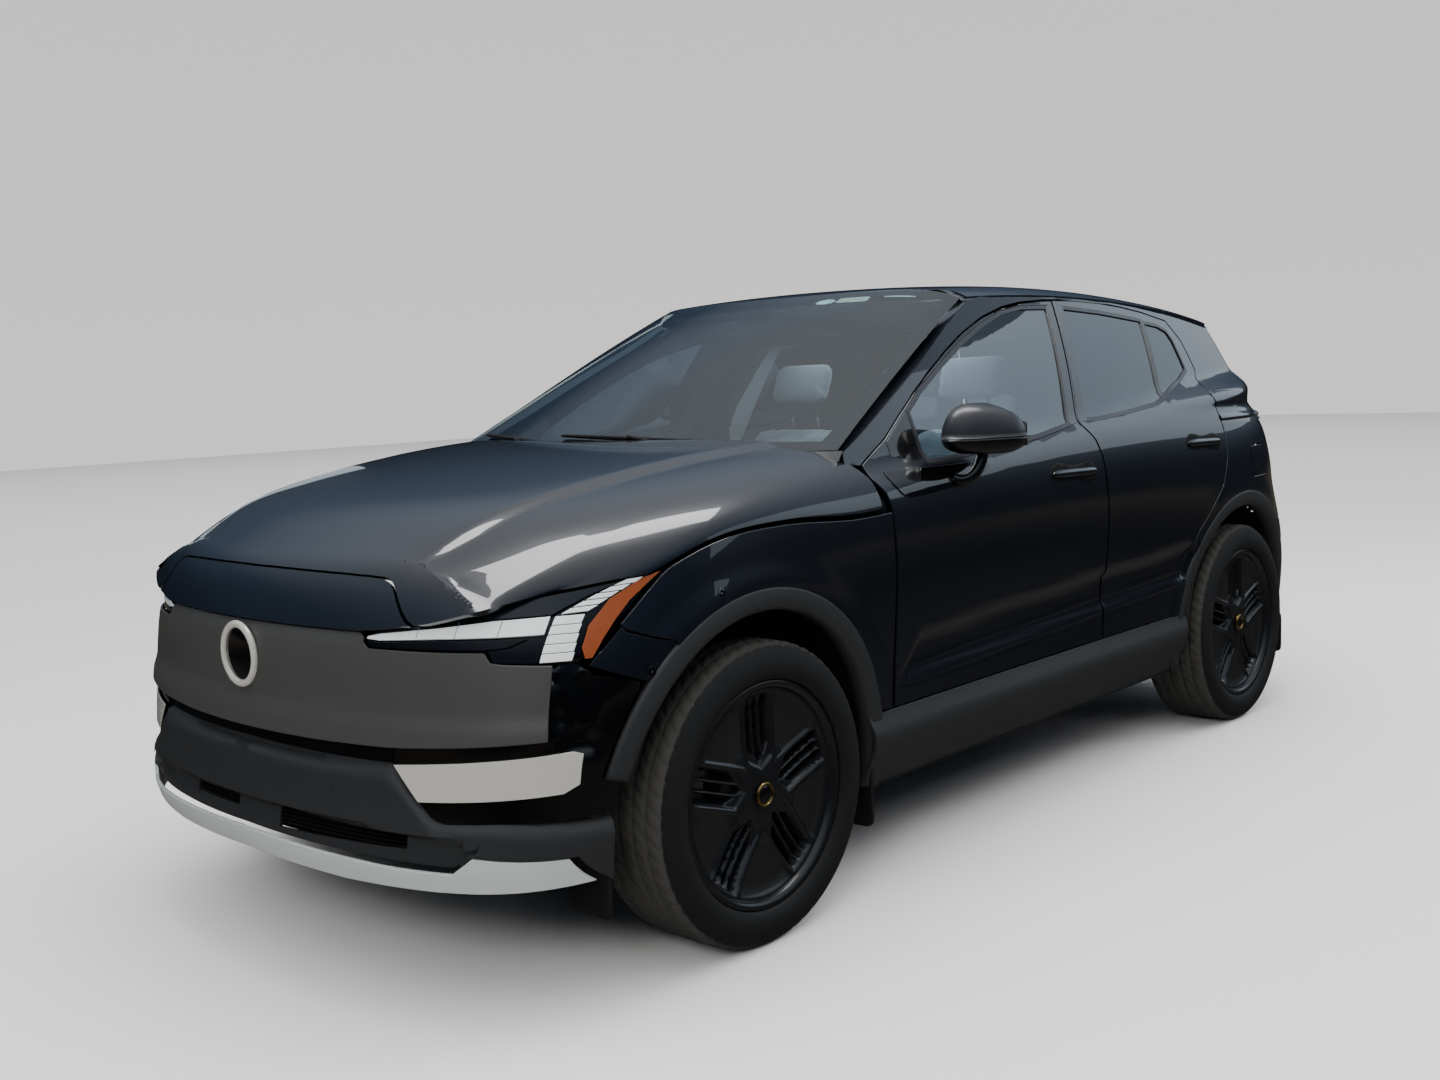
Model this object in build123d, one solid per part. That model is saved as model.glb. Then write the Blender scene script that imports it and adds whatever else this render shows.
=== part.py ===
from build123d import *
import os
import numpy as np

# Electric crossover, whole car, in millimetres. +X is forward, +Y is the car's left, +Z is up.
# The origin lies on the ground, halfway along the car's length.

# Driving dimensions
WHEELBASE = 2650
FRONT_AXLE_X = 1281.5
REAR_AXLE_X = FRONT_AXLE_X - WHEELBASE
HALF_TRACK = 795
TYRE_R = 359
TYRE_W = 240
RIM_R = 268
RIM_W = 212
ARCH_R = 428            # wheel opening
CLADDING_R = 486        # outer edge of the arch cladding
KINGPIN_Y = 735         # steering axis of a front wheel
HUB_BORE_R = 32
SKIN = 14               # thickness of an outer skin
DOOR_THICK = 112        # whole door below its window
FRAME_THICK = 46        # door frame round its window
SHUT_GAP = 7            # between neighbouring panels
EDGE_INSET = 20         # a door's inner part is this much shorter than its skin at the trailing edge
PANEL_CLEAR = 3         # between fixed pieces
GLASS_THICK = 5
BELT_BLEND = 90

# Outline of the body seen from above: half width, nose and tail reach by height, and how they round off
STRAIGHT_X = 900        # the sides are straight between -STRAIGHT_X and STRAIGHT_X
NOSE_BOW = 0.22e-3
TAIL_BOW = 0.13e-3


def through(*points):
    """Natural cubic spline through (place, value) points."""
    x, y = np.array(sorted(points), float).T
    n, h = len(x), np.diff(x)
    a, b = np.eye(n), np.zeros(n)
    for i in range(1, n - 1):
        a[i, i - 1:i + 2] = h[i - 1], 2 * (h[i - 1] + h[i]), h[i]
        b[i] = 6 * ((y[i + 1] - y[i]) / h[i] - (y[i] - y[i - 1]) / h[i - 1])
    m = np.linalg.solve(a, b)

    def at(t):
        t = np.clip(t, x[0], x[-1])
        i = np.clip(np.searchsorted(x, t) - 1, 0, n - 2)
        p, q = t - x[i], x[i + 1] - t
        return ((m[i] * q**3 + m[i + 1] * p**3) / (6 * h[i]) + (y[i] / h[i] - m[i] * h[i] / 6) * q
                + (y[i + 1] / h[i] - m[i + 1] * h[i] / 6) * p)
    return at


def bell(t, centre, width):
    """Smooth bump of height 1."""
    return np.exp(-((t - centre) / width) ** 2)


def step(t):
    """Smooth rise from 0 at t = 0 to 1 at t = 1."""
    t = np.clip(t, 0, 1)
    return t * t * (3 - 2 * t)


half_width_by_z = through((180, 835), (350, 866), (500, 880), (650, 893), (800, 901), (920, 898),
                          (1020, 884), (1100, 862), (1160, 835), (1250, 780))
nose_by_z = through((180, 2050), (280, 2105), (340, 2116.5), (420, 2106), (520, 2094), (620, 2084),
                    (720, 2080), (800, 2071), (860, 2045), (930, 1990), (1000, 1920))
tail_by_z = through((180, 2020), (300, 2090), (450, 2116.5), (600, 2105), (720, 2085), (900, 2072),
                    (1020, 2055), (1080, 2030), (1120, 1990), (1200, 1928), (1300, 1866), (1460, 1768))
hood_by_x = through((700, 1168), (850, 1164), (1050, 1156), (1250, 1138), (1450, 1112), (1650, 1078),
                    (1820, 1032), (1950, 972), (2030, 905), (2071, 820), (2120, 700))
hood_side_z = through((600, 975), (750, 972), (920, 968), (1100, 980), (1250, 982), (1370, 974), (1460, 955),
                      (1550, 925), (1650, 890), (1750, 860), (1900, 820), (2100, 780))
roof_by_x = through((300, 1550), (150, 1576), (-100, 1594), (-400, 1600), (-800, 1592), (-1200, 1566),
                    (-1550, 1528), (-1850, 1480))


def half_width(x, z):
    """Half width before the ends round off: a profile by height, wider at the wheels, waisted at the doors."""
    front = 22 * bell(x, 1500, 450) * bell(z, 600, 280)
    rear = 17 * bell(x, -1500, 520) * bell(z, 780, 320)
    waist = -12 * bell(x, 0, 800) * bell(z, 620, 200)
    return half_width_by_z(z) + front + rear + waist


def corner_power(z):
    """How square the outline's corners are."""
    return 8.0 - 2.8 * step((z - 520) / 360)


def reach(y, z, back):
    bow = TAIL_BOW if back else NOSE_BOW
    end = tail_by_z(z) if back else nose_by_z(z)
    return end - bow * y * y - STRAIGHT_X


def side_y(x, z):
    """Body side below the belt, as y by x and z."""
    w, power = half_width(x, z), corner_power(z)
    y = w + 0 * x
    for _ in range(8):
        r = np.where(x >= 0, reach(y, z, False), reach(y, z, True))
        u = np.clip((np.abs(x) - STRAIGHT_X) / r, 0, 1)
        y = w * (1 - u ** power) ** (1 / power)
    return y


def corner_point(angle, z, back=False):
    """Point on the nose's or tail's outline; angle 0 points straight out, 90 degrees along the side."""
    power = corner_power(z)
    c, s = np.cos(angle), np.sin(angle)
    r = (np.abs(c) ** power + np.abs(s) ** power) ** (-1 / power)
    sign = -1 if back else 1
    x = sign * 1500.0
    for _ in range(5):
        y = half_width(x, z) * r * s
        x = sign * (STRAIGHT_X + reach(y, z, back) * r * c)
    return np.stack([x, y, z + 0 * x], -1)


def belt_z(x):
    return 1110 - 0.078 * x


def glass_y(x, z):
    """Side of the cabin above the belt."""
    up = z - 1110
    return 835 - 0.33 * up - 0.28e-3 * up * up - 30 * ((x + 200) / 1000) ** 2


def skin_y(x, z):
    """Whole body side from sill to roof, blended at the belt."""
    low = side_y(x, np.minimum(z, 1150))
    t = step((z - belt_z(x) + 45) / BELT_BLEND)
    return low * (1 - t) + glass_y(x, z) * t


def roof_z(x, y):
    return roof_by_x(x) - 22 * (y / 620) ** 2 - 25 * (y / 620) ** 10


# ---- solids from grids of points ----

def surface(grid):
    return Face.make_surface_from_array_of_points([[Vector(*map(float, p)) for p in row] for row in grid])


def between(outer, inner):
    """Closed solid between two grids of points with the same layout."""
    fo, fi = surface(outer), surface(inner)
    walls = []
    for edge in fo.edges():
        middle = edge @ 0.5
        other = min(fi.edges(), key=lambda e: (e @ 0.5 - middle).length)
        walls.append(Face.make_surface_from_curves(edge, other))
    solid = Solid(Shell([fo, fi] + walls))
    return solid if solid.volume > 0 else Solid(solid.wrapped.Reversed())


def inward(grid, depth, towards=(0, 0, 600)):
    """The grid moved by depth along its normals, to the side where the point towards lies."""
    du, dv = np.gradient(grid, axis=0), np.gradient(grid, axis=1)
    n = np.cross(du, dv)
    n /= np.linalg.norm(n, axis=-1, keepdims=True)
    if np.sum(n * (np.array(towards, float) - grid)) < 0:
        n = -n
    return grid + n * (depth[..., None] if np.ndim(depth) else depth)


def mesh_of(us, vs):
    return np.meshgrid(us, vs, indexing="ij")


def side_slab(x0, x1, z0, z1, d0, d1, nx=16, nz=16, base=skin_y):
    """Part of the left body side between two depths below its skin; a depth is a number or f(x, z)."""
    x, z = mesh_of(np.linspace(x0, x1, nx), np.linspace(z0, z1, nz))
    y = base(x, z)
    a = y - (d0(x, z) if callable(d0) else d0)
    b = y - (d1(x, z) if callable(d1) else d1)
    return between(np.stack([x, a, z], -1), np.stack([x, b, z], -1))


def corner_slab(a0, a1, z0, z1, thick, back=False, na=24, nz=10, lift=0):
    """Part of the nose's or tail's wall; lift moves its outer face outwards."""
    a, z = mesh_of(np.linspace(np.radians(a0), np.radians(a1), na), np.linspace(z0, z1, nz))
    grid = corner_point(a, z, back)
    inside = (-500 if back else 500, 0, 600)
    outer = inward(grid, -lift, inside) if lift else grid
    return between(outer, inward(grid, thick, inside))


def across_y(points, y0, y1):
    """Prism of an (x, z) outline between y0 and y1."""
    face = make_face(Plane.XZ * Polyline(*points, close=True))
    return extrude(Pos(0, y0, 0) * face, amount=y1 - y0, dir=(0, 1, 0))


def across_x(points, x0, x1):
    """Prism of a (y, z) outline between x0 and x1."""
    face = make_face(Plane.YZ * Polyline(*points, close=True))
    return extrude(Pos(x0, 0, 0) * face, amount=x1 - x0, dir=(1, 0, 0))


def up_z(points, z0, z1):
    """Prism of an (x, y) outline between z0 and z1."""
    face = make_face(Polyline(*points, close=True))
    return extrude(Pos(0, 0, z0) * face, amount=z1 - z0, dir=(0, 0, 1))


def box(x0, x1, y0, y1, z0, z1):
    return Pos((x0 + x1) / 2, (y0 + y1) / 2, (z0 + z1) / 2) * Box(abs(x1 - x0), abs(y1 - y0), abs(z1 - z0))


def rod_y(x, z, r, y0, y1):
    return Pos(x, (y0 + y1) / 2, z) * Rot(90, 0, 0) * Cylinder(r, abs(y1 - y0))


def both(left):
    return [left, left.mirror(Plane.XZ)]


def largest(shape):
    """The main solid of a cut shape."""
    return max(shape.solids(), key=lambda s: s.volume)


# ---- outlines of the side, (x, z), left and right alike ----
FRONT_DOOR = [(745, 458), (750, 760), (752, 905), (756, 976), (780, 1052), (777, 1086), (655, 1146), (566, 1203),
              (465, 1263), (370, 1313), (248, 1372), (125, 1424), (-12, 1469), (-146, 1500), (-273, 1517),
              (-418, 1527), (-476, 1528), (-303, 1146), (-348, 1085), (-364, 1034), (-367, 905), (-367, 458)]
REAR_DOOR = [(-374, 458), (-374, 905), (-371, 1034), (-355, 1085), (-310, 1146), (-483, 1528), (-627, 1528),
             (-807, 1522), (-964, 1510), (-1111, 1493), (-1285, 1464), (-1340, 1391), (-1352, 1283),
             (-1275, 1195), (-1263, 1080), (-1240, 980), (-1185, 885), (-1100, 816), (-1000, 740),
             (-920, 641), (-862, 508), (-845, 458)]
FRONT_GLASS = [(520, 1082), (520, 1212), (439, 1262), (306, 1327), (169, 1387), (9, 1445), (-128, 1483),
               (-257, 1501), (-420, 1504), (-248, 1142), (-40, 1116), (461, 1082)]
REAR_GLASS = [(-358, 1150), (-528, 1504), (-770, 1491), (-1068, 1465), (-945, 1197), (-856, 1180),
              (-606, 1160), (-453, 1151)]
QUARTER_GLASS = [(-965, 1203), (-1088, 1457), (-1193, 1446), (-1250, 1427), (-1268, 1392), (-1268, 1287),
                 (-1171, 1252)]
PILLAR_LINE = [(836, 1127), (30, 1528)]           # windshield's side edge
DOOR_HINGE = {"front": (690, 893), "rear": (-397, 895)}


def grown(points, dx, dz):
    """Outline grown by dx and dz on each side, or shrunk where negative."""
    p = np.array(points, float)
    low, high = p.min(0), p.max(0)
    centre, half = (low + high) / 2, (high - low) / 2
    return [tuple(q) for q in centre + (p - centre) * (1 + np.array([dx, dz]) / half)]


def shifted(points, dx, dz=0):
    return [(x + dx, z + dz) for x, z in points]


def below_belt(drop, x0=-2200, x1=1000):
    """Side outline of everything lower than drop below the belt line."""
    return [(x0, 0), (x1, 0), (x1, belt_z(x1) - drop), (x0, belt_z(x0) - drop)]


def door(outline, panes):
    """Left door with its skin, thicker inner part and window openings."""
    low, high = np.min(outline, 0), np.max(outline, 0)
    x0, x1, z0, z1 = low[0] - 20, high[0] + 20, low[1] - 15, high[1] + 15
    skin = side_slab(x0, x1, z0, z1, 0, SKIN, 18, 30) & across_y(outline, 400, 1100)
    inside = across_y(grown(outline, -24, -8), 400, 1100) & across_y(shifted(outline, EDGE_INSET), 400, 1100)
    frame = side_slab(x0, x1, z0, z1, 10, FRAME_THICK, 18, 30) & inside
    frame -= side_slab(x0 - 30, x1 + 30, 1190, 1560, FRAME_THICK + 6, FRAME_THICK + 90, 22, 12)
    trim = side_slab(x0, x1, z0, 1250, 30, DOOR_THICK, 18, 20) & inside & across_y(below_belt(35), 400, 1100)
    for window in panes:
        skin -= across_y(window, 400, 1100)
        frame -= across_y(grown(window, -9, -9), 400, 1100)
    return largest(skin + frame + trim)


def pane(window, outline):
    """Glass flush in the window opening of the door with that outline."""
    low, high = np.min(outline, 0), np.max(outline, 0)
    slab = side_slab(low[0] - 20, high[0] + 20, low[1] - 15, high[1] + 15, 1, 1 + GLASS_THICK, 18, 30)
    return largest(slab & across_y(grown(window, -2, -2), 400, 1100))


def all_doors():
    parts = {}
    shapes = {"front_door": door(FRONT_DOOR, [FRONT_GLASS]),
              "rear_door": door(REAR_DOOR, [REAR_GLASS, QUARTER_GLASS]),
              "front_door_glass": pane(FRONT_GLASS, FRONT_DOOR),
              "rear_door_glass": Compound([pane(REAR_GLASS, REAR_DOOR), pane(QUARTER_GLASS, REAR_DOOR)])}
    for name, shape in shapes.items():
        parts[name + "_left"] = shape
        parts[name + "_right"] = shape.mirror(Plane.XZ)
    return parts


def body_side():
    """Left pillars, cant rail, door surround and rocker."""
    top = [(x, float(roof_by_x(x)) - 60) for x in (30, -200, -500, -900, -1300, -1640)]
    outline = [(700, 1088), (840, 1088)] + [(x, z - 9) for x, z in PILLAR_LINE] + top[1:]
    outline += [(-1665, 1450), (-1722, 1200), (-1770, 1088)]
    skin = side_slab(-1790, 850, 1070, 1560, 0, 82, 26, 18) & across_y(outline, 400, 1100)
    for shape in (FRONT_DOOR, REAR_DOOR):
        skin -= across_y(grown(shape, SHUT_GAP, SHUT_GAP), 400, 1100)
    x, y = mesh_of(np.linspace(-1655, 0, 20), np.linspace(562, 633, 8))
    rail_top = np.stack([x, y, roof_z(x, y)], -1)
    rail = between(rail_top, np.stack([x, y, roof_z(x, np.minimum(y, 600)) - 40], -1))
    opening = [grown(FRONT_DOOR, -30, -30), grown(REAR_DOOR, -30, -30)]
    upper = side_slab(-1420, 850, 1000, 1540, FRAME_THICK + 16, DOOR_THICK + 30, 24, 16)
    upper -= across_y(below_belt(15), 400, 1100)
    lower = side_slab(-1420, 850, 300, 1250, DOOR_THICK + 16, DOOR_THICK + 60, 24, 20)
    lower &= across_y(below_belt(-15), 400, 1100)
    edge = across_y([(850, 300), (850, 1080), (PILLAR_LINE[0][0] - 30, 1110), (30, 1500), (-200, 1530),
                     (-900, 1530), (-1400, 1455), (-1400, 760), (-1010, 760), (-880, 600), (-845, 300)], 400, 1100)
    ring = (upper & edge) + (lower & edge) - box(-1340, -1040, 560, 720, 1435, 1525)
    for shape in opening:
        ring -= across_y(shape, 400, 1100)
    rocker = box(-840, 735, 700, 775, 270, 425)
    for shape, y0 in ((FRONT_DOOR, 586), (REAR_DOOR, 540)):
        rail -= across_y(grown(shape, SHUT_GAP, SHUT_GAP), y0, 1100)
    shell = skin + rail + ring + rocker
    return largest(shell - arch(FRONT_AXLE_X, 456) - arch(REAR_AXLE_X, 456))


# ---- outlines of the front, (y, z) of the left half from the middle outwards ----
PANEL_TOP_Z, PANEL_LOW_Z, PANEL_HALF = 817, 603, 812
HOOD_EDGE = [(0, 820), (434, 820), (604, 842), (703, 867), (730, 886), (800, 900), (850, 912), (1000, 918)]
BUMPER_TOP = [(0, 577), (490, 562), (512, 540), (607, 445), (1000, 435)]
SKID = [(0, 289), (375, 277), (650, 279), (838, 277), (834, 345), (700, 362), (688, 349), (661, 330), (498, 331),
        (288, 335), (0, 340)]
HOOD_REAR = [(1025, 0), (1015, 250), (975, 500), (905, 680), (850, 760), (800, 850), (792, 1000)]


def mirrored(half):
    """Closed (y, z) outline from its left half, which starts and ends on the middle."""
    return half + [(-y, z) for y, z in reversed(half) if y > 0]


def band(low, high):
    """Closed (y, z) outline between two lines that both run from the middle outwards."""
    return mirrored(low + high[::-1])


def arch(x, r):
    return rod_y(x, TYRE_R, r, -1100, 1100)


def hood():
    """Clamshell hood: a bowed grid of sections that are flat on top and steep at the sides."""
    rows, columns = np.linspace(780, 2071, 26), np.linspace(-1, 1, 31)
    grid = np.zeros((len(rows), len(columns), 3))
    for i, bowed_x in enumerate(rows):
        edge = 880.0
        for _ in range(6):
            x = bowed_x - NOSE_BOW * edge * edge
            edge = float(side_y(x, hood_side_z(x)))
        y = edge * np.sign(columns) * np.abs(columns) ** 0.8
        x = bowed_x - NOSE_BOW * y * y
        side_z = hood_side_z(x)
        top = hood_by_x(bowed_x) + 0 * y
        z = side_z + (top - side_z) * (1 - np.abs(y / edge) ** 7 * 0.995) ** 0.6
        grid[i] = np.stack([x, y, z], -1)
    shell = between(grid, inward(grid, 16, (1300, 0, 0)))
    shell &= across_x(mirrored([(0, 1300), (1100, 1300), (1100, 930)] + HOOD_EDGE[::-1]), 1540, 2200) + box(
        700, 1540, -1100, 1100, 850, 1300)
    side_line = [(x, float(hood_side_z(x))) for x in (700, 900, 1100, 1250, 1370, 1460, 1545)]
    shell -= across_y(side_line + [(1545, 700), (700, 700)], -1100, 1100)
    rear = HOOD_REAR + [(600, 1000), (600, -1000)] + [(x, -y) for x, y in reversed(HOOD_REAR)][:-1]
    shell -= up_z(rear, 800, 1300)
    for corner in both(box(700, 864, 728, 1100, 1060, 1300)):
        shell -= corner
    return largest(shell)


def front_fender():
    """Left fender between the hood, the front door and the wheel arch."""
    top = [(x, float(hood_side_z(x)) - SHUT_GAP) for x in (758, 900, 1100, 1250, 1370, 1460, 1545)]
    outline = top + [(1566, 915), (1682, 822), (1526, 770), (1400, 500), (900, 458), (752, 458), (757, 760), (759, 905)]
    return largest((side_slab(745, 1700, 440, 990, 0, SKIN, 22, 14, side_y) & across_y(outline, 400, 1100))
                   - arch(FRONT_AXLE_X, CLADDING_R + PANEL_CLEAR))


def nose_wall(z0, z1, thick, lift=0):
    return corner_slab(-86, 86, z0, z1, thick, na=64, nz=12, lift=lift)


def front_end():
    """Shield panel, headlamps, bumper, corner pieces and skid plate."""
    panel = nose_wall(590, 830, 18) & across_x(band(
        [(0, PANEL_LOW_Z), (PANEL_HALF, PANEL_LOW_Z)],
        [(0, PANEL_TOP_Z), (422, PANEL_TOP_Z), (424, 778), (PANEL_HALF, 748)]), 1500, 2200)
    lamp_line = across_x([(429, 803), (440, 789), (700, 786), (718, 759), (1000, 755), (1000, 911), (850, 905),
                          (800, 893), (735, 880), (706, 861), (606, 836), (432, 814)], 1500, 2200)
    lamp = largest((nose_wall(740, 925, 70) & lamp_line) - across_y(
        [(1553, 925), (1752, 750), (1500, 740), (1400, 925)], 0, 1100))
    bumper = nose_wall(236, 600, 18) & across_x(band([(0, 236), (1000, 236)], BUMPER_TOP), 1500, 2200)
    bumper -= arch(FRONT_AXLE_X, CLADDING_R + PANEL_CLEAR)
    bumper -= across_x(mirrored([(0, 200), (1000, 200), (1000, 270), (840, 270), (836, 348), (698, 366), (683, 352),
                                 (655, 334), (498, 335), (288, 339), (0, 344)]), 1500, 2200)
    for y0, y1, z0, z1 in ((-262, -35, 372, 404), (140, 545, 360, 394)):
        bumper -= box(1900, 2200, y0, y1, z0, z1)
    skid = nose_wall(262, 380, 14) & across_x(mirrored(SKID), 1500, 2200)
    skid -= arch(FRONT_AXLE_X, 445)
    corner = nose_wall(440, 760, 18) & across_x(
        [(516, 594), (516, 545), (611, 449), (1000, 439), (1000, 749), (819, 749), (819, 597)], 1500, 2200)
    corner -= arch(FRONT_AXLE_X, CLADDING_R + PANEL_CLEAR)
    corner -= across_y([(1685, 822), (1526, 766), (1400, 500), (1400, 900)], 0, 1100)
    return {"shield_panel": largest(panel), "headlamps": Compound(both(lamp)), "front_bumper": largest(bumper),
            "front_skid_plate": largest(skid), "bumper_corners": Compound(both(largest(corner)))}


def claddings():
    """Arch and sill claddings of both sides."""
    front = side_slab(780, 1790, 230, 870, -7, 9, 40, 20, side_y) & (
        rod_y(FRONT_AXLE_X, TYRE_R, CLADDING_R, 0, 1100) - arch(FRONT_AXLE_X, ARCH_R))
    front = largest(front - box(0, 2200, 0, 1100, 0, 458))
    rear = side_slab(-1875, -860, 230, 870, -6, 10, 40, 20, side_y) & (
        rod_y(REAR_AXLE_X, TYRE_R, CLADDING_R, 0, 1100) - arch(REAR_AXLE_X, ARCH_R))
    rear = largest(rear - box(-2200, 0, 0, 1100, 0, 458))
    sill = side_slab(-985, 870, 256, 452, -12, 62, 20, 8, side_y)
    sill -= arch(FRONT_AXLE_X, ARCH_R)
    sill -= arch(REAR_AXLE_X, ARCH_R)
    sill = largest(sill)
    return {"arch_claddings": Compound(both(front) + both(rear)), "sill_claddings": Compound(both(sill))}


def tail_wall(z0, z1, thick, nz=14):
    return corner_slab(-88, 88, z0, z1, thick, True, na=64, nz=nz)


TAILGATE = [(0, 708), (655, 708), (655, 1075), (606, 1150), (560, 1300), (532, 1452), (0, 1452)]
REAR_WINDOW = [(0, 1168), (560, 1168), (545, 1230), (505, 1415), (480, 1428), (0, 1428)]
LAMP_LOWER = [(664, 870), (1000, 870), (1000, 1081), (664, 1081)]


def rear_end():
    """Tailgate with its window and spoiler, rear quarter panels, lamps, bumper and skid plate."""
    tailgate = (tail_wall(700, 1460, 46, 24) & across_x(mirrored(TAILGATE), -2200, -1600))
    tailgate -= across_x(mirrored(REAR_WINDOW), -2200, -1600)
    window = tail_wall(1150, 1440, 5, 10) & across_x(mirrored([(y * 0.996, z) for y, z in REAR_WINDOW]), -2200, -1600)
    x, y = mesh_of(np.linspace(-1850, -1664, 8), np.linspace(-560, 560, 16))
    top = roof_z(x, y)
    grid = np.stack([x, y, top], -1)
    low = np.stack([x, y, 1456 + np.maximum(0, -(x + 1700)) * 0.05], -1)
    spoiler = between(grid, low)
    quarter = corner_slab(2, 90, 455, 1085, 58, True, na=40, nz=18) & across_x(
        [(664, 705), (1000, 455), (1000, 1084), (664, 1084)], -2200, -890)
    quarter -= box(-2200, -1784, 0, 1100, 400, 705)
    quarter -= arch(REAR_AXLE_X, CLADDING_R + PANEL_CLEAR)
    quarter -= across_y(grown(REAR_DOOR, SHUT_GAP, SHUT_GAP), 0, 1100)
    quarter -= across_y(shifted(REAR_DOOR, -SHUT_GAP), 0, 1100)
    lamp_zone = across_x(LAMP_LOWER, -2200, -1890)
    quarter -= lamp_zone
    lamp = largest(corner_slab(2, 80, 860, 1085, 50, True, na=40, nz=8) & across_x(
        [(667, 873), (1000, 873), (1000, 1078), (667, 1078)], -2200, -1893))
    bumper = tail_wall(240, 704, 18) & box(-2200, -1790, -1100, 1100, 240, 701)
    bumper -= arch(REAR_AXLE_X, CLADDING_R + PANEL_CLEAR)
    bumper -= box(-2200, -1900, -623, 623, 200, 368)
    skid = tail_wall(246, 366, 16, 8) & box(-2200, -1900, -620, 620, 250, 365)
    return {"tailgate": largest(tailgate), "rear_window": largest(window), "roof_spoiler": spoiler,
            "quarter_left": largest(quarter), "quarter_right": largest(quarter).mirror(Plane.XZ),
            "tail_lamps": Compound(both(lamp)), "rear_bumper": largest(bumper), "rear_skid_plate": largest(skid)}


def windshield():
    s, t = mesh_of(np.linspace(0, 1, 12), np.linspace(-1, 1, 20))
    base = np.stack([1035 - 200 * t * t, 800 * t, 1128 + 0 * t], -1)
    top = np.stack([225 - 195 * t * t, 645 * t, roof_z(225 - 195 * t * t, 645 * t)], -1)
    bulge = 34 * 4 * s * (1 - s) * (1 - 0.8 * t * t)
    grid = base * (1 - s[..., None]) + top * s[..., None] + bulge[..., None] * np.array([0.48, 0, 0.88])
    return between(grid, inward(grid, GLASS_THICK, (0, 0, 800)))


def roof():
    x, y = mesh_of(np.linspace(-1655, 230, 24), np.linspace(-556, 556, 20))
    grid = np.stack([x, y, roof_z(x, y)], -1)
    panel = between(grid, np.stack([x, y, roof_z(x, y) - 26], -1))
    front = [(240, -600), (240, 600)] + [(218 - 195 * (y / 645) ** 2, y) for y in (556, 400, 200, 0, -200, -400, -556)]
    return largest(panel - up_z([(240, -600), (240, 600)] + front[2:], 1300, 1700))


# ---- under the body and inside ----

def front_structure():
    """Firewall, cowl, bay cover, side rails and the beam behind the nose."""
    wall = box(905, 925, -672, 672, 340, 1062)
    for half in both(rod_y(FRONT_AXLE_X, TYRE_R, 456, 468, 900)):
        wall -= half
    cowl = box(905, 1000, -560, 560, 1040, 1080)
    cover = box(920, 1620, -430, 430, 930, 985)
    rails = [box(920, 1900, y - 35, y + 35, 470, 600) for y in (-385, 385)]
    beam = box(1880, 1925, -560, 560, 330, 700)
    posts = [box(1560, 1620, y - 35, y + 35, 560, 960) for y in (-385, 385)]
    return largest(wall + cowl + cover + rails[0] + rails[1] + beam + posts[0] + posts[1])


def floor_pan():
    """Stepped floor: footwells, rear seat base, cargo floor and the panel below the tailgate."""
    line = [(898, 340), (-626, 340), (-626, 455), (-1051, 455), (-1051, 600), (-2024, 600), (-2024, 400),
            (-2010, 400), (-2010, 586), (-1065, 586), (-1065, 441), (-640, 441), (-640, 326), (898, 326)]
    pan = across_y([(x, z + 14) for x, z in line], -672, 672)
    for side in (-1, 1):
        pan -= box(-2100, -900, side * 548, side * 800, 300, 1000)
    return largest(pan)


def wheel_liners():
    """Thin arches over the wheels, closed towards the cargo space at the rear."""
    front = rod_y(FRONT_AXLE_X, TYRE_R, 448, 478, 838) - rod_y(FRONT_AXLE_X, TYRE_R, 440, 470, 850)
    front -= box(0, 2200, 400, 900, -200, 470)
    rear = rod_y(REAR_AXLE_X, TYRE_R, 448, 556, 838) - rod_y(REAR_AXLE_X, TYRE_R, 440, 566, 850)
    rear -= box(-2200, 0, 400, 900, -200, 470)
    return Compound(both(largest(front)) + both(largest(rear)))


def caliper(x):
    """Brake caliper over the front of the disc."""
    ring = rod_y(x, TYRE_R, 194, 734, 802) - rod_y(x, TYRE_R, 118, 700, 850)
    ring -= rod_y(x, TYRE_R, 172, 750, 786)
    return ring & box(x + 100, x + 200, 700, 850, TYRE_R - 70, TYRE_R + 85)


def knuckle():
    """Left steering knuckle with its stub axle, ball joint post and caliper."""
    x, z = FRONT_AXLE_X, TYRE_R
    hub = rod_y(x, z, 62, 700, 740) + rod_y(x, z, HUB_BORE_R - 2, 735, 792)
    post = Pos(x, 715, z) * Cylinder(20, 230)
    arm = box(x, x + 150, 704, 730, z - 30, z + 30) + box(x + 110, x + 150, 704, 740, z - 60, z + 60)
    steering_arm = box(x - 140, x, 700, 722, z - 75, z - 45)
    return largest(hub + post + arm + steering_arm + caliper(x))


def rear_axle():
    """Rear cross beam, trailing arms, stub axles and calipers."""
    x, z = REAR_AXLE_X, TYRE_R
    beam = box(x + 165, x + 235, -520, 520, z - 60, z + 10)
    axle = beam
    for half in both(box(x - 60, x + 200, 490, 540, z - 45, z + 35) + box(x - 60, x + 40, 490, 720, z - 30, z + 30)
                     + rod_y(x, z, 62, 690, 740) + rod_y(x, z, HUB_BORE_R - 2, 735, 792)
                     + box(x, x + 150, 704, 730, z - 30, z + 30)
                     + box(x + 110, x + 150, 704, 740, z - 60, z + 60) + caliper(x)):
        axle += half
    return largest(axle)


def front_subframe():
    """Cradle between the front wheels with an arm to each knuckle."""
    cradle = box(1040, 1500, -330, 330, 215, 290)
    for half in both(box(1255, 1308, 320, 733, 205, 232)):
        cradle += half
    return largest(cradle)


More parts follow.
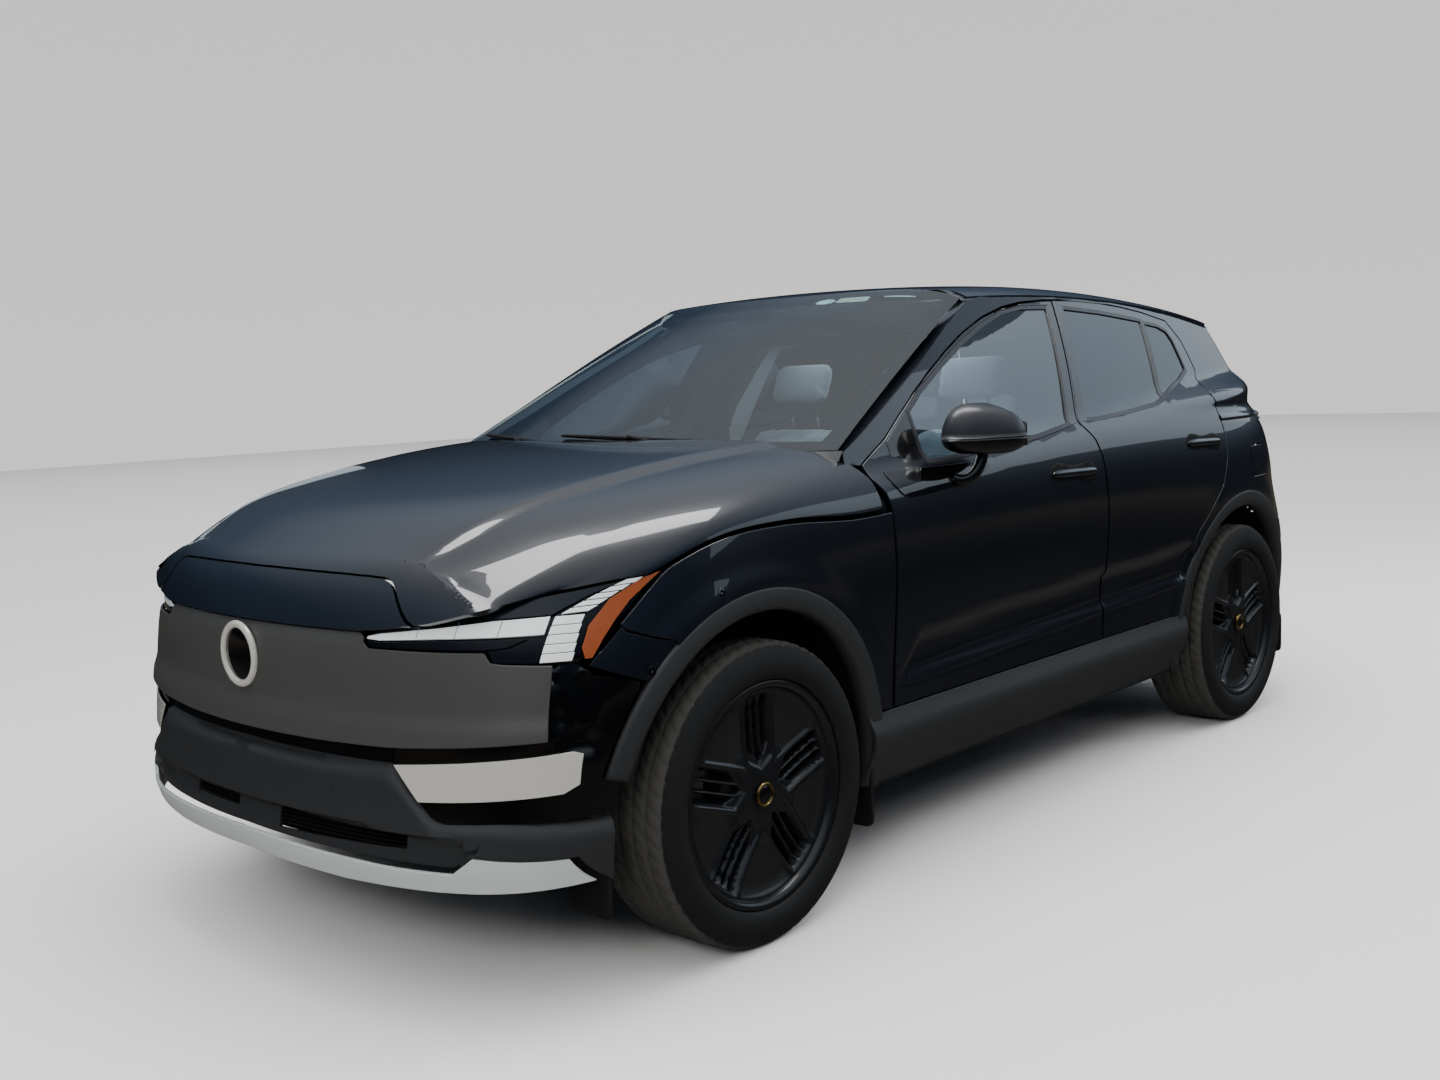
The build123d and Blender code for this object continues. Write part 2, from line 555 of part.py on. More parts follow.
def rim(x):
    """Left wheel: barrel, face with five openings, hub with its bore, brake disc."""
    z, inner, outer = TYRE_R, HALF_TRACK - RIM_W / 2, HALF_TRACK + RIM_W / 2
    barrel = rod_y(x, z, RIM_R, inner, outer) - rod_y(x, z, 251, inner - 1, outer + 1)
    barrel -= rod_y(x, z, 290, inner + 14, outer - 14) - rod_y(x, z, 260, inner, outer)
    face = rod_y(x, z, 254, outer - 40, outer - 16)
    for k in range(5):
        a = np.radians(90 + 72 * k)
        u, v = np.array([np.cos(a), np.sin(a)]), np.array([-np.sin(a), np.cos(a)])
        points = [u * r + v * t for r, t in ((120, -20), (222, -62), (234, 0), (222, 62), (120, 20))]
        face -= across_y([(x + p[0], z + p[1]) for p in points], outer - 60, outer + 10)
    hub = rod_y(x, z, 76, outer - 74, outer - 18) + rod_y(x, z, 62, 748, outer - 60)
    disc = rod_y(x, z, 165, 757, 779)
    wheel = barrel + face + hub + disc
    return largest(wheel - rod_y(x, z, HUB_BORE_R, 740, outer - 60))


def tyre(x):
    """Left tyre: a hollow ring open towards the rim."""
    half = TYRE_W / 2
    outside = [(269, -106), (285, -117), (310, -half), (332, -116), (349, -103), (357, -85), (TYRE_R, 0)]
    inside = [(346, 0), (344, -82), (336, -93), (322, -102), (308, -106), (288, -103), (276, -94), (269, -92)]
    left = outside + inside
    right = [(r, -y) for r, y in outside[::-1][1:]]
    ring = outside + right + [(r, -y) for r, y in inside[::-1]][:-1] + inside
    profile = make_face(Plane.YZ * Polyline(*[(HALF_TRACK + y, TYRE_R + r) for r, y in ring], close=True))
    return Pos(x, 0, 0) * revolve(profile, Axis((0, 0, TYRE_R), (0, 1, 0)))


def seat_at(y, half, cushion, back):
    """Rounded cushion and reclined back between y - half and y + half; (x, z) outlines."""
    base = fillet(across_y(cushion, y - half, y + half).edges(), 28)
    rest = fillet(across_y(back, y - half + 20, y + half - 20).edges(), 28)
    return base + rest


def front_seat():
    """Left front seat with its plinth and headrest."""
    y = 372
    seat = seat_at(y, 255, [(-290, 470), (240, 500), (260, 600), (60, 640), (-290, 600)],
                   [(-290, 560), (-170, 590), (-390, 1170), (-500, 1150)])
    seat += fillet(across_y([(-440, 1200), (-360, 1215), (-420, 1380), (-510, 1365)], y - 130, y + 130).edges(), 24)
    seat += box(-450, -425, y - 60, y - 45, 1140, 1230) + box(-450, -425, y + 45, y + 60, 1140, 1230)
    return largest(seat + box(-240, 180, y - 200, y + 200, 357, 520))


def rear_seat():
    """Rear bench with a split-height back and headrests."""
    seat = fillet(across_y([(-1010, 474), (-560, 490), (-540, 600), (-700, 640), (-1010, 600)], -535, 535).edges(), 28)
    seat += fillet(across_y([(-1010, 560), (-900, 600), (-1080, 1110), (-1190, 1090)], -535, 535).edges(), 28)
    for y in (-360, 0, 360):
        seat += fillet(across_y([(-1150, 1070), (-1060, 1085), (-1105, 1235), (-1195, 1220)], y - 110,
                                y + 110).edges(), 24)
    return largest(seat)


def dashboard():
    """Dashboard across the cabin with the tunnel console."""
    line = [(898, 740), (898, 1040), (800, 1060), (600, 1052), (560, 1020), (570, 930), (640, 780), (700, 740)]
    dash = fillet(across_y(line, -655, 655).edges().filter_by(Axis.Y), 18)
    dash += STEERING * Pos(0, 0, -160) * Cylinder(44, 186)
    return largest(dash + box(-330, 780, -105, 105, 357, 600) + box(640, 780, -105, 105, 560, 800))


STEERING = Pos(430, 372, 905) * Rot(0, -66, 0)     # its own Z points at the driver


def steering_wheel():
    """Ring with a hub and spokes."""
    ring = Torus(175, 15) + Cylinder(58, 40) + Box(24, 330, 20) + Pos(-85, 0, 0) * Box(170, 24, 20)
    return largest(STEERING * (ring + Pos(0, 0, -40) * Cylinder(30, 40)))


def door_mirror():
    """Left mirror: housing on an arm from a foot on the door."""
    shell = fillet(up_z([(470, 862), (300, 880), (296, 1018), (340, 1022), (440, 965)], 1092, 1232).edges(), 22)
    foot = box(390, 650, 868, 900, 1005, 1062) + box(400, 450, 875, 930, 1040, 1110)
    return largest(shell + (foot - side_slab(300, 750, 950, 1120, -1, 80)))


FLAP = [(-1590, 892), (-1462, 892), (-1462, 1000), (-1590, 1000)]


def every_part():
    """All sub-parts by node name."""
    parts = {"hood": hood(), "windshield": windshield(), "roof": roof(), "front_structure": front_structure(),
             "floor_pan": floor_pan(), "wheel_liners": wheel_liners(), "front_subframe": front_subframe(),
             "rear_axle": rear_axle(), "dashboard": dashboard(), "steering_wheel": steering_wheel(),
             "rear_seat": rear_seat(), "battery_pack": chamfer(box(-840, 700, -560, 560, 205, 328).edges(), 15),
             "drive_motor": rod_y(REAR_AXLE_X, TYRE_R, 125, -230, 200) + box(-1500, -1236, -230, 60, 400, 540)}
    for name, left in (("body_side", body_side()), ("front_fender", front_fender()), ("knuckle", knuckle()),
                       ("front_rim", rim(FRONT_AXLE_X)), ("rear_rim", rim(REAR_AXLE_X)),
                       ("front_tyre", tyre(FRONT_AXLE_X)), ("rear_tyre", tyre(REAR_AXLE_X)),
                       ("front_seat", front_seat()), ("door_mirror", door_mirror())):
        parts[name + "_left"], parts[name + "_right"] = both(left)
    for group in (front_end(), claddings(), rear_end(), all_doors()):
        parts.update(group)
    parts["charge_flap"] = largest(side_slab(-1620, -1430, 860, 1030, 0, 9, 8, 8, side_y) & across_y(FLAP, 700, 1100))
    parts["quarter_left"] = largest(parts["quarter_left"] - (
        side_slab(-1640, -1410, 850, 1040, -10, 34, 8, 8, side_y) & across_y(grown(FLAP, 6, 6), 700, 1100)))
    return parts


if __name__ == "__main__":
    os.makedirs("parts", exist_ok=True)
    for node, shape in every_part().items():
        export_step(shape, "parts/" + node + ".step")
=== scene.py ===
import bpy
import numpy as np
from mathutils import Matrix, Vector
from mathutils.geometry import delaunay_2d_cdt


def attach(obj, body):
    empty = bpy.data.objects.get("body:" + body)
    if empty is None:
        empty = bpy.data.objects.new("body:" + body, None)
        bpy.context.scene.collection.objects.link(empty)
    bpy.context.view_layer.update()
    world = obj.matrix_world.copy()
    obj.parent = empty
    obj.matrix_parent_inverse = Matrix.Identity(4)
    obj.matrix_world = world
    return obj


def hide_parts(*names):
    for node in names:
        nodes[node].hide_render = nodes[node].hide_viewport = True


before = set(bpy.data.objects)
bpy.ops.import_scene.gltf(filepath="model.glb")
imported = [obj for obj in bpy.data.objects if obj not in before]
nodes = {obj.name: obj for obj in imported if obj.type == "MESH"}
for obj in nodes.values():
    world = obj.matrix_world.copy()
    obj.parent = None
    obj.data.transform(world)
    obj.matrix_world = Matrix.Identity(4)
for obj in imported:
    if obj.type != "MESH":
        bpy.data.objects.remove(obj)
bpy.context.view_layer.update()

# Lengths are in millimetres, and each mesh is turned to metres when it is made.
MM = 0.001
SIDES = (("left", 1), ("right", -1))


# ---- camera ----

def make_camera():
    """A 35.5 mm lens at standing height, off the car's front left corner."""
    yaw, pitch, roll = np.radians([-136.86, 6.35, -2.37])
    ahead = Vector((np.cos(yaw) * np.cos(pitch), np.sin(yaw) * np.cos(pitch), -np.sin(pitch)))
    level = ahead.cross(Vector((0, 0, 1))).normalized()
    above = level.cross(ahead)
    right = level * np.cos(roll) + above * np.sin(roll)
    up = above * np.cos(roll) - level * np.sin(roll)
    data = bpy.data.cameras.new("camera")
    data.sensor_width = 36
    data.lens = 36 * 1420.1 / 1440
    data.clip_end = 100
    camera = bpy.data.objects.new("camera", data)
    turn = Matrix((right, up, -ahead)).transposed()
    camera.matrix_world = Matrix.Translation((3.673, 3.022, 1.312)) @ turn.to_4x4()
    bpy.context.scene.collection.objects.link(camera)
    bpy.context.scene.camera = camera


make_camera()


# ---- materials ----

def linear(code):
    """sRGB hex colour as linear RGBA."""
    c = np.array([int(code[i:i + 2], 16) for i in (1, 3, 5)]) / 255
    c = np.where(c <= 0.04045, c / 12.92, ((c + 0.055) / 1.055) ** 2.4)
    return (*map(float, c), 1.0)


def add(tree, kind, inputs=None, **settings):
    """Adds a node, sets its properties, and sets or links its inputs."""
    made = tree.nodes.new(kind)
    for key, value in settings.items():
        setattr(made, key, value)
    for key, value in (inputs or {}).items():
        if isinstance(value, bpy.types.NodeSocket):
            tree.links.new(value, made.inputs[key])
        else:
            made.inputs[key].default_value = value
    return made


def finish_of(name, colour, roughness, **sockets):
    """A material with one Principled shader; returns it with its tree and shader."""
    made = bpy.data.materials.new(name)
    made.use_nodes = True
    shader = made.node_tree.nodes["Principled BSDF"]
    shader.inputs["Base Color"].default_value = linear(colour)
    shader.inputs["Roughness"].default_value = roughness
    for key, value in sockets.items():
        shader.inputs[key.replace("_", " ")].default_value = value
    return made, made.node_tree, shader


def grain(tree, shader, size_mm, depth_mm, rough):
    """Noise of a real size as bump, and as a small change in roughness."""
    place = add(tree, "ShaderNodeTexCoord").outputs["Object"]
    noise = add(tree, "ShaderNodeTexNoise", {"Vector": place, "Scale": 1 / (size_mm * MM), "Detail": 3})
    bump = add(tree, "ShaderNodeBump", {"Height": noise.outputs["Fac"], "Strength": 1.0,
                                        "Distance": depth_mm * MM})
    tree.links.new(bump.outputs["Normal"], shader.inputs["Normal"])
    if rough:
        span = add(tree, "ShaderNodeMapRange", {"Value": noise.outputs["Fac"], "To Min": rough[0],
                                                "To Max": rough[1]})
        tree.links.new(span.outputs["Result"], shader.inputs["Roughness"])
    return noise


def tint(tree, shader, low, high, size_mm):
    """Slow colour variation between two hex colours."""
    place = add(tree, "ShaderNodeTexCoord").outputs["Object"]
    noise = add(tree, "ShaderNodeTexNoise", {"Vector": place, "Scale": 1 / (size_mm * MM), "Detail": 4})
    mixed = add(tree, "ShaderNodeMix", {"Factor": noise.outputs["Fac"], "A": linear(low), "B": linear(high)},
                data_type="RGBA")
    tree.links.new(mixed.outputs["Result"], shader.inputs["Base Color"])


def paint_material():
    """Blue-black metallic paint under clear coat: dark body, sharp reflections, a faint flake sparkle."""
    made, tree, shader = finish_of("blue_black_metallic_paint", "#070a12", 0.3, Metallic=0.3,
                                   Coat_Weight=1.0, Coat_Roughness=0.015, Coat_IOR=1.55)
    place = add(tree, "ShaderNodeTexCoord").outputs["Object"]
    # Real flake is about 0.1 mm; it is drawn at 1.2 mm, the finest that shows.
    flake = add(tree, "ShaderNodeTexVoronoi", {"Vector": place, "Scale": 1 / (1.2 * MM)})
    mixed = add(tree, "ShaderNodeMix", {"Factor": flake.outputs["Color"], "A": linear("#04060b"),
                                        "B": linear("#0c1019")}, data_type="RGBA")
    tree.links.new(mixed.outputs["Result"], shader.inputs["Base Color"])
    return made


def plain(name, colour, roughness, size_mm, depth_mm, rough=None, **sockets):
    """An even material with a fine grain of the given size and depth."""
    made, tree, shader = finish_of(name, colour, roughness, **sockets)
    grain(tree, shader, size_mm, depth_mm, rough)
    return made


def glass_material(name, colour, index):
    """Tinted tempered glass: the tint is see-through, and the surface reflects by its angle."""
    made = bpy.data.materials.new(name)
    made.use_nodes = True
    tree = made.node_tree
    tree.nodes.remove(tree.nodes["Principled BSDF"])
    clear = add(tree, "ShaderNodeBsdfTransparent", {"Color": linear(colour)})
    gloss = add(tree, "ShaderNodeBsdfPrincipled", {"Base Color": linear("#e8eef2"), "Roughness": 0.0,
                                                   "IOR": 1.5, "Metallic": 1.0})
    angle = add(tree, "ShaderNodeFresnel", {"IOR": index})
    both = add(tree, "ShaderNodeMixShader", {0: angle.outputs["Fac"], 1: clear.outputs["BSDF"],
                                             2: gloss.outputs["BSDF"]})
    tree.links.new(both.outputs["Shader"], tree.nodes["Material Output"].inputs["Surface"])
    return made


def woven_material(name, low, high, thread_mm):
    """Woven cloth: two crossing wave sets for the weave, mottled yarn colour and a soft sheen."""
    made, tree, shader = finish_of(name, high, 0.9, Sheen_Weight=0.3)
    place = add(tree, "ShaderNodeTexCoord").outputs["Object"]
    across = add(tree, "ShaderNodeTexWave", {"Vector": place, "Scale": 1 / (thread_mm * MM * 6.3),
                                             "Distortion": 0.6}, bands_direction="Y")
    along = add(tree, "ShaderNodeTexWave", {"Vector": place, "Scale": 1 / (thread_mm * MM * 6.3),
                                            "Distortion": 0.6}, bands_direction="DIAGONAL")
    weave = add(tree, "ShaderNodeMath", {0: across.outputs["Fac"], 1: along.outputs["Fac"]},
                operation="MULTIPLY")
    bump = add(tree, "ShaderNodeBump", {"Height": weave.outputs["Value"], "Distance": 0.5 * MM})
    tree.links.new(bump.outputs["Normal"], shader.inputs["Normal"])
    tint(tree, shader, low, high, 12)
    return made


PAINT = paint_material()
# Piano-black moulded ABS: as glossy as paint, without flake.
GLOSS_BLACK = plain("gloss_black_moulding", "#030304", 0.06, 60, 0.02, Coat_Weight=0.6, Coat_Roughness=0.02)
# Grained polypropylene cladding: charcoal, satin, with a fine leather-like grain.
CHARCOAL = plain("grained_charcoal_polypropylene", "#1d1e1f", 0.5, 1.6, 0.05, (0.42, 0.56))
# Painted satin panel between the lamps: warm dark grey.
PANEL_GREY = plain("satin_grey_moulding", "#383837", 0.36, 2.2, 0.012, (0.32, 0.42), Metallic=0.25)
# Satin silver paint on plastic, with a soft metallic sheen, and satin black paint on the mirror housings.
SILVER = plain("satin_silver_paint", "#9ea3a1", 0.34, 1.5, 0.01, (0.3, 0.4), Metallic=0.25)
MIRROR_CAP = plain("satin_black_paint", "#1a1b1e", 0.34, 2, 0.01, (0.3, 0.4), Coat_Weight=0.25,
                   Coat_Roughness=0.2)
# Chromed mouldings. On the first, a pale grey base with little metal is a painted reflection standing in for
# the bright sky that chrome would mirror; the second is bright chrome.
BRIGHT = plain("chrome_moulding_painted_reflection", "#a9a79f", 0.12, 30, 0.01, Metallic=0.35, Coat_Weight=0.5,
               Coat_Roughness=0.03)
CHROME = plain("chromed_plastic", "#c9cbcd", 0.08, 30, 0.01, Metallic=1.0)
# Tyre rubber: matt black-grey on the sidewall, and slightly dusty on the tread.
RUBBER = plain("tyre_rubber", "#0e0e0e", 0.72, 2.5, 0.06, (0.62, 0.8))
TREAD = plain("tyre_tread_rubber", "#2a2926", 0.86, 3.0, 0.12, (0.78, 0.92))
# Wheel: baked black enamel, satin moulded inlays and an anodised ring round the cap.
RIM_BLACK = plain("gloss_black_wheel_enamel", "#0c0d0f", 0.3, 8, 0.01, Coat_Weight=0.4, Coat_Roughness=0.15)
PETAL = plain("satin_wheel_inlay", "#131313", 0.42, 1.2, 0.02, (0.38, 0.48))
BRONZE = plain("bronze_cap_ring", "#a58a55", 0.25, 3, 0.01, Metallic=1.0)
# Chassis: turned iron discs, pale cast aluminium, black-coated steel and matt felt liners.
IRON = plain("turned_cast_iron", "#5c5a58", 0.5, 1.5, 0.04, (0.4, 0.6), Metallic=0.8)
ALLOY = plain("cast_aluminium", "#b9bab8", 0.42, 2, 0.05, (0.35, 0.5), Metallic=0.85)
STEEL = plain("coated_chassis_steel", "#121214", 0.6, 4, 0.05, (0.5, 0.7), Metallic=0.2)
FELT = plain("wheel_liner_felt", "#0b0b0b", 0.95, 3, 0.2)
# Cabin: soft-touch mouldings in slate and pale grey, needled carpet, and woven and knitted cloth.
TRIM = plain("soft_touch_cabin_trim", "#2f343b", 0.62, 1.2, 0.04, (0.55, 0.7))
TRIM_LIGHT = plain("pale_cabin_trim", "#8f979f", 0.7, 1.2, 0.04, (0.6, 0.76))
CARPET = plain("needled_carpet", "#1b1c1e", 0.97, 2.5, 0.5)
SEAT_CLOTH = woven_material("blue_grey_seat_weave", "#4a555f", "#626d77", 2.4)
HEADLINER = woven_material("headliner_knit", "#8a8d90", "#a0a3a6", 1.8)
# Glass: faintly green in front, blue at the front doors, and nearly black behind them. The last number is the
# index that gives each its reflections, above that of bare glass because both faces and the tint reflect.
WINDSHIELD_GLASS = glass_material("laminated_windscreen", "#c4d8dc", 2.1)
FRONT_SIDE_GLASS = glass_material("front_side_glass", "#b4cfda", 2.7)
PRIVACY_GLASS = glass_material("privacy_glass", "#20242a", 2.3)
# Lamps: frosted white light guides with grey joints, and amber and red acrylic over dark reflectors.
LED = plain("frosted_light_guide", "#d5d8d8", 0.2, 4, 0.02, Metallic=0.3, Coat_Weight=0.5)
LED_GAP = plain("lamp_reflector_grey", "#8d9399", 0.25, 4, 0.02, Metallic=0.6)
AMBER = plain("amber_reflector", "#6d3517", 0.22, 3, 0.03, Coat_Weight=1.0)
RED = plain("red_lamp_acrylic", "#5e0709", 0.12, 4, 0.02, Coat_Weight=1.0)
# Deep places behind grilles and seals: matt, almost without light. Behind the intakes and slots and in the
# handle cups this near black is painted shade for depth that is not modelled; on the wipers, intake vanes,
# windscreen bands, rear window frame and mirror seam it is their own black.
DARK = plain("matt_black_and_painted_shade", "#040405", 0.85, 3, 0.05)
MIRROR = plain("silvered_mirror", "#d7dadd", 0.02, 80, 0.001, Metallic=1.0)
# Blank labels of uncoated paper.
STICKER = plain("blank_paper_sticker", "#cfd6c4", 0.6, 2, 0.01)
STICKER_WHITE = plain("blank_white_sticker", "#dfe8ea", 0.55, 2, 0.01)


# ---- body surfaces, the same formulas as the solids ----

WHEELBASE, FRONT_AXLE, TYRE_R, TRACK = 2650, 1281.5, 359, 795
REAR_AXLE = FRONT_AXLE - WHEELBASE
ARCH_R, CLADDING_R = 428, 486
STRAIGHT_X, NOSE_BOW, TAIL_BOW = 900, 0.22e-3, 0.13e-3


def through(*points):
    """Natural cubic spline through (place, value) points."""
    x, y = np.array(sorted(points), float).T
    n, h = len(x), np.diff(x)
    a, b = np.eye(n), np.zeros(n)
    for i in range(1, n - 1):
        a[i, i - 1:i + 2] = h[i - 1], 2 * (h[i - 1] + h[i]), h[i]
        b[i] = 6 * ((y[i + 1] - y[i]) / h[i] - (y[i] - y[i - 1]) / h[i - 1])
    m = np.linalg.solve(a, b)

    def at(t):
        t = np.clip(t, x[0], x[-1])
        i = np.clip(np.searchsorted(x, t) - 1, 0, n - 2)
        p, q = t - x[i], x[i + 1] - t
        return ((m[i] * q**3 + m[i + 1] * p**3) / (6 * h[i]) + (y[i] / h[i] - m[i] * h[i] / 6) * q
                + (y[i + 1] / h[i] - m[i + 1] * h[i] / 6) * p)
    return at


def bell(t, centre, width):
    """A smooth hump, 1 at its centre."""
    return np.exp(-((t - centre) / width) ** 2)


def step(t):
    """Smooth rise from 0 at t = 0 to 1 at t = 1."""
    t = np.clip(t, 0, 1)
    return t * t * (3 - 2 * t)


half_width_by_z = through((180, 835), (350, 866), (500, 880), (650, 893), (800, 901), (920, 898),
                          (1020, 884), (1100, 862), (1160, 835), (1250, 780))
nose_by_z = through((180, 2050), (280, 2105), (340, 2116.5), (420, 2106), (520, 2094), (620, 2084),
                    (720, 2080), (800, 2071), (860, 2045), (930, 1990), (1000, 1920))
tail_by_z = through((180, 2020), (300, 2090), (450, 2116.5), (600, 2105), (720, 2085), (900, 2072),
                    (1020, 2055), (1080, 2030), (1120, 1990), (1200, 1928), (1300, 1866), (1460, 1768))
hood_by_x = through((700, 1168), (850, 1164), (1050, 1156), (1250, 1138), (1450, 1112), (1650, 1078),
                    (1820, 1032), (1950, 972), (2030, 905), (2071, 820), (2120, 700))
hood_side_z = through((600, 975), (750, 972), (920, 968), (1100, 980), (1250, 982), (1370, 974), (1460, 955),
                      (1550, 925), (1650, 890), (1750, 860), (1900, 820), (2100, 780))
roof_by_x = through((300, 1550), (150, 1576), (-100, 1594), (-400, 1600), (-800, 1592), (-1200, 1566),
                    (-1550, 1528), (-1850, 1480))


def half_width(x, z):
    """The body's half width: swollen at the wheels and drawn in at the waist."""
    front = 22 * bell(x, 1500, 450) * bell(z, 600, 280)
    rear = 17 * bell(x, -1500, 520) * bell(z, 780, 320)
    waist = -12 * bell(x, 0, 800) * bell(z, 620, 200)
    return half_width_by_z(z) + front + rear + waist


def corner_power(z):
    """How square the body's corners are in plan: 8 low down and 5.2 from z 880."""
    return 8.0 - 2.8 * step((z - 520) / 360)


def reach(y, z, back):
    """How far the nose or tail stands beyond the straight middle, bowed across."""
    bow = TAIL_BOW if back else NOSE_BOW
    end = tail_by_z(z) if back else nose_by_z(z)
    return end - bow * y * y - STRAIGHT_X


def side_y(x, z):
    """Body side below the belt, as y by x and z."""
    w, power = half_width(x, z), corner_power(z)
    y = w + 0 * x
    for _ in range(8):
        r = np.where(x >= 0, reach(y, z, False), reach(y, z, True))
        u = np.clip((np.abs(x) - STRAIGHT_X) / r, 0, 1)
        y = w * (1 - u ** power) ** (1 / power)
    return y


def corner_point(angle, z, back=False):
    """Point on the nose's or tail's outline; angle 0 points straight out, 90 degrees along the side."""
    power = corner_power(z)
    c, s = np.cos(angle), np.sin(angle)
    r = (np.abs(c) ** power + np.abs(s) ** power) ** (-1 / power)
    sign = -1 if back else 1
    x = sign * 1500.0
    for _ in range(5):
        y = half_width(x, z) * r * s
        x = sign * (STRAIGHT_X + reach(y, z, back) * r * c)
    return np.stack([x, y, z + 0 * x], -1)


def belt_z(x):
    """Height of the belt line, which climbs to the rear."""
    return 1110 - 0.078 * x


def glass_y(x, z):
    """The side above the belt, leaning in and drawn in at both ends."""
    up = z - 1110
    return 835 - 0.33 * up - 0.28e-3 * up * up - 30 * ((x + 200) / 1000) ** 2


def skin_y(x, z):
    """Whole body side from sill to roof, blended at the belt."""
    low = side_y(x, np.minimum(z, 1150))
    t = step((z - belt_z(x) + 45) / 90)
    return low * (1 - t) + glass_y(x, z) * t


def roof_z(x, y):
    """Height of the roof, which falls to its sides."""
    return roof_by_x(x) - 22 * (y / 620) ** 2 - 25 * (y / 620) ** 10


# ---- surfaces of two parameters, (u, v) to points ----

def side(u, v):
    """Left body side; u is x and v is z."""
    return np.stack([u, skin_y(u, v), v], -1)


def lower_side(u, v):
    """Left side without the glass above the belt; u is x and v is z."""
    return np.stack([u, side_y(u, v), v], -1)


def nose(u, v):
    """Front wall; u is a thousand times the outline's angle, about millimetres along it, and v is z."""
    return corner_point(u / 1000, v)


def tail(u, v):
    """Rear wall, in the same way as the front one."""
    return corner_point(u / 1000, v, True)


def normals(surface, u, v):
    """Unit normals of a surface by small differences, pointing away from the car's middle."""
    p = surface(u, v)
    n = np.cross(surface(u + 1.0, v) - p, surface(u, v + 1.0) - p)
    n /= np.linalg.norm(n, axis=-1, keepdims=True)
    out = p - np.array([0.0, 0.0, 600.0])
    return n * np.sign(np.sum(n * out, -1, keepdims=True))


def lifted(surface, height):
    """The surface moved outwards along its normal by a number or by height(u, v)."""
    def moved(u, v):
        h = height(u, v) if callable(height) else height + 0 * u
        return surface(u, v) + normals(surface, u, v) * h[..., None]
    return moved


def along(points, gap, ring=True):
    """Points about gap apart on an outline, keeping its corners; ring closes it."""
    out = []
    for a, b in zip(points, points[1:] + points[:1] if ring else points[1:]):
        n = max(1, int(np.ceil(np.hypot(b[0] - a[0], b[1] - a[1]) / gap)))
        out += [(a[0] + (b[0] - a[0]) * i / n, a[1] + (b[1] - a[1]) * i / n) for i in range(n)]
    return out if ring else out + points[-1:]


def curve(points, n):
    """n points on a smooth open curve through the given ones, by distance along them."""
    p = np.array(points, float)
    s = np.concatenate([[0], np.cumsum(np.hypot(*np.diff(p, axis=0).T))])
    t = np.linspace(0, s[-1], n)
    fit = [through(*zip(s, p[:, k]))(t) for k in (0, 1)]
    return [(float(a), float(b)) for a, b in zip(*fit)]


def arc(cx, cz, r, a0, a1, n=24):
    """n points on a circle from angle a0 to a1, in degrees."""
    a = np.radians(np.linspace(a0, a1, n))
    return [(float(cx + r * np.cos(t)), float(cz + r * np.sin(t))) for t in a]


def wrapped(outline, back=False, gap=12, ring=True):
    """A (y, z) outline of the nose or tail as (1000 angle, z) points."""
    angles = np.linspace(-np.pi / 2, np.pi / 2, 1441)
    out = []
    for y, z in along(outline, gap, ring):
        reach_y = corner_point(angles, z, back)[:, 1]
        out.append((float(np.interp(y, reach_y, angles)) * 1000, z))
    return out


def wrapped_x(outline, back=False, gap=12, ring=True):
    """A left (x, z) outline near the nose or tail as (1000 angle, z) points."""
    angles = np.linspace(0.02, np.pi / 2, 1441)
    out = []
    for x, z in along(outline, gap, ring):
        reach_x = np.abs(corner_point(angles, z, back)[:, 0])
        out.append((float(np.interp(-abs(x), -reach_x, angles)) * 1000, z))
    return out


def within(points, outline):
    """Which points lie inside a closed outline."""
    p, q = np.array(outline, float), np.roll(np.array(outline, float), -1, axis=0)
    x, y = points[:, :1], points[:, 1:]
    crosses = (p[:, 1] > y) != (q[:, 1] > y)
    slope = (q[:, 0] - p[:, 0]) / np.where(q[:, 1] == p[:, 1], 1e-9, q[:, 1] - p[:, 1])
    return (crosses & (x < p[:, 0] + slope * (y - p[:, 1]))).sum(1) % 2 == 1


def far_from(points, outline, gap):
    """Which points are further than gap from an outline."""
    p = np.array(outline, float)
    d = np.roll(p, -1, axis=0) - p
    w = points[:, None] - p[None]
    t = np.clip((w * d).sum(-1) / np.maximum((d * d).sum(-1), 1e-9), 0, 1)
    return (np.linalg.norm(w - t[..., None] * d, axis=-1).min(1)) > gap


def trimmed(surface, outline, gap=16, holes=()):
    """Triangles over a grid of a surface's two parameters, trimmed by an outline and holes in them."""
    rims = [along(o, gap * 0.7) for o in (outline, *holes)]
    low, high = np.min(rims[0], 0), np.max(rims[0], 0)
    grid = np.stack(np.meshgrid(np.arange(low[0], high[0], gap), np.arange(low[1], high[1], gap),
                                indexing="ij"), -1).reshape(-1, 2)
    keep = within(grid, rims[0]) & far_from(grid, rims[0], gap * 0.5)
    for rim in rims[1:]:
        keep &= ~within(grid, rim) & far_from(grid, rim, gap * 0.5)
    points, edges = [tuple(p) for p in grid[keep]], []
    for rim in rims:
        first, count = len(points), len(rim)
        points += rim
        edges += [(first + i, first + (i + 1) % count) for i in range(count)]
    flat, _, faces, _, _, _ = delaunay_2d_cdt([Vector(p) for p in points], edges, [], 1, 1e-4)
    uv = np.array([tuple(p) for p in flat])
    tri = np.array([f for f in faces if len(f) == 3])
    middle = uv[tri].mean(1)
    good = within(middle, rims[0])
    for rim in rims[1:]:
        good &= ~within(middle, rim)
    return surface(uv[:, 0], uv[:, 1]), tri[good]


def quads(rows, columns, close_rows=False, close_columns=False):
    """Quads of a grid stored row by row."""
    i, j = np.meshgrid(np.arange(rows if close_rows else rows - 1),
                       np.arange(columns if close_columns else columns - 1), indexing="ij")
    k, m = (i + 1) % rows, (j + 1) % columns
    return np.stack([i * columns + j, k * columns + j, k * columns + m, i * columns + m], -1).reshape(-1, 4)


# ---- pieces ----


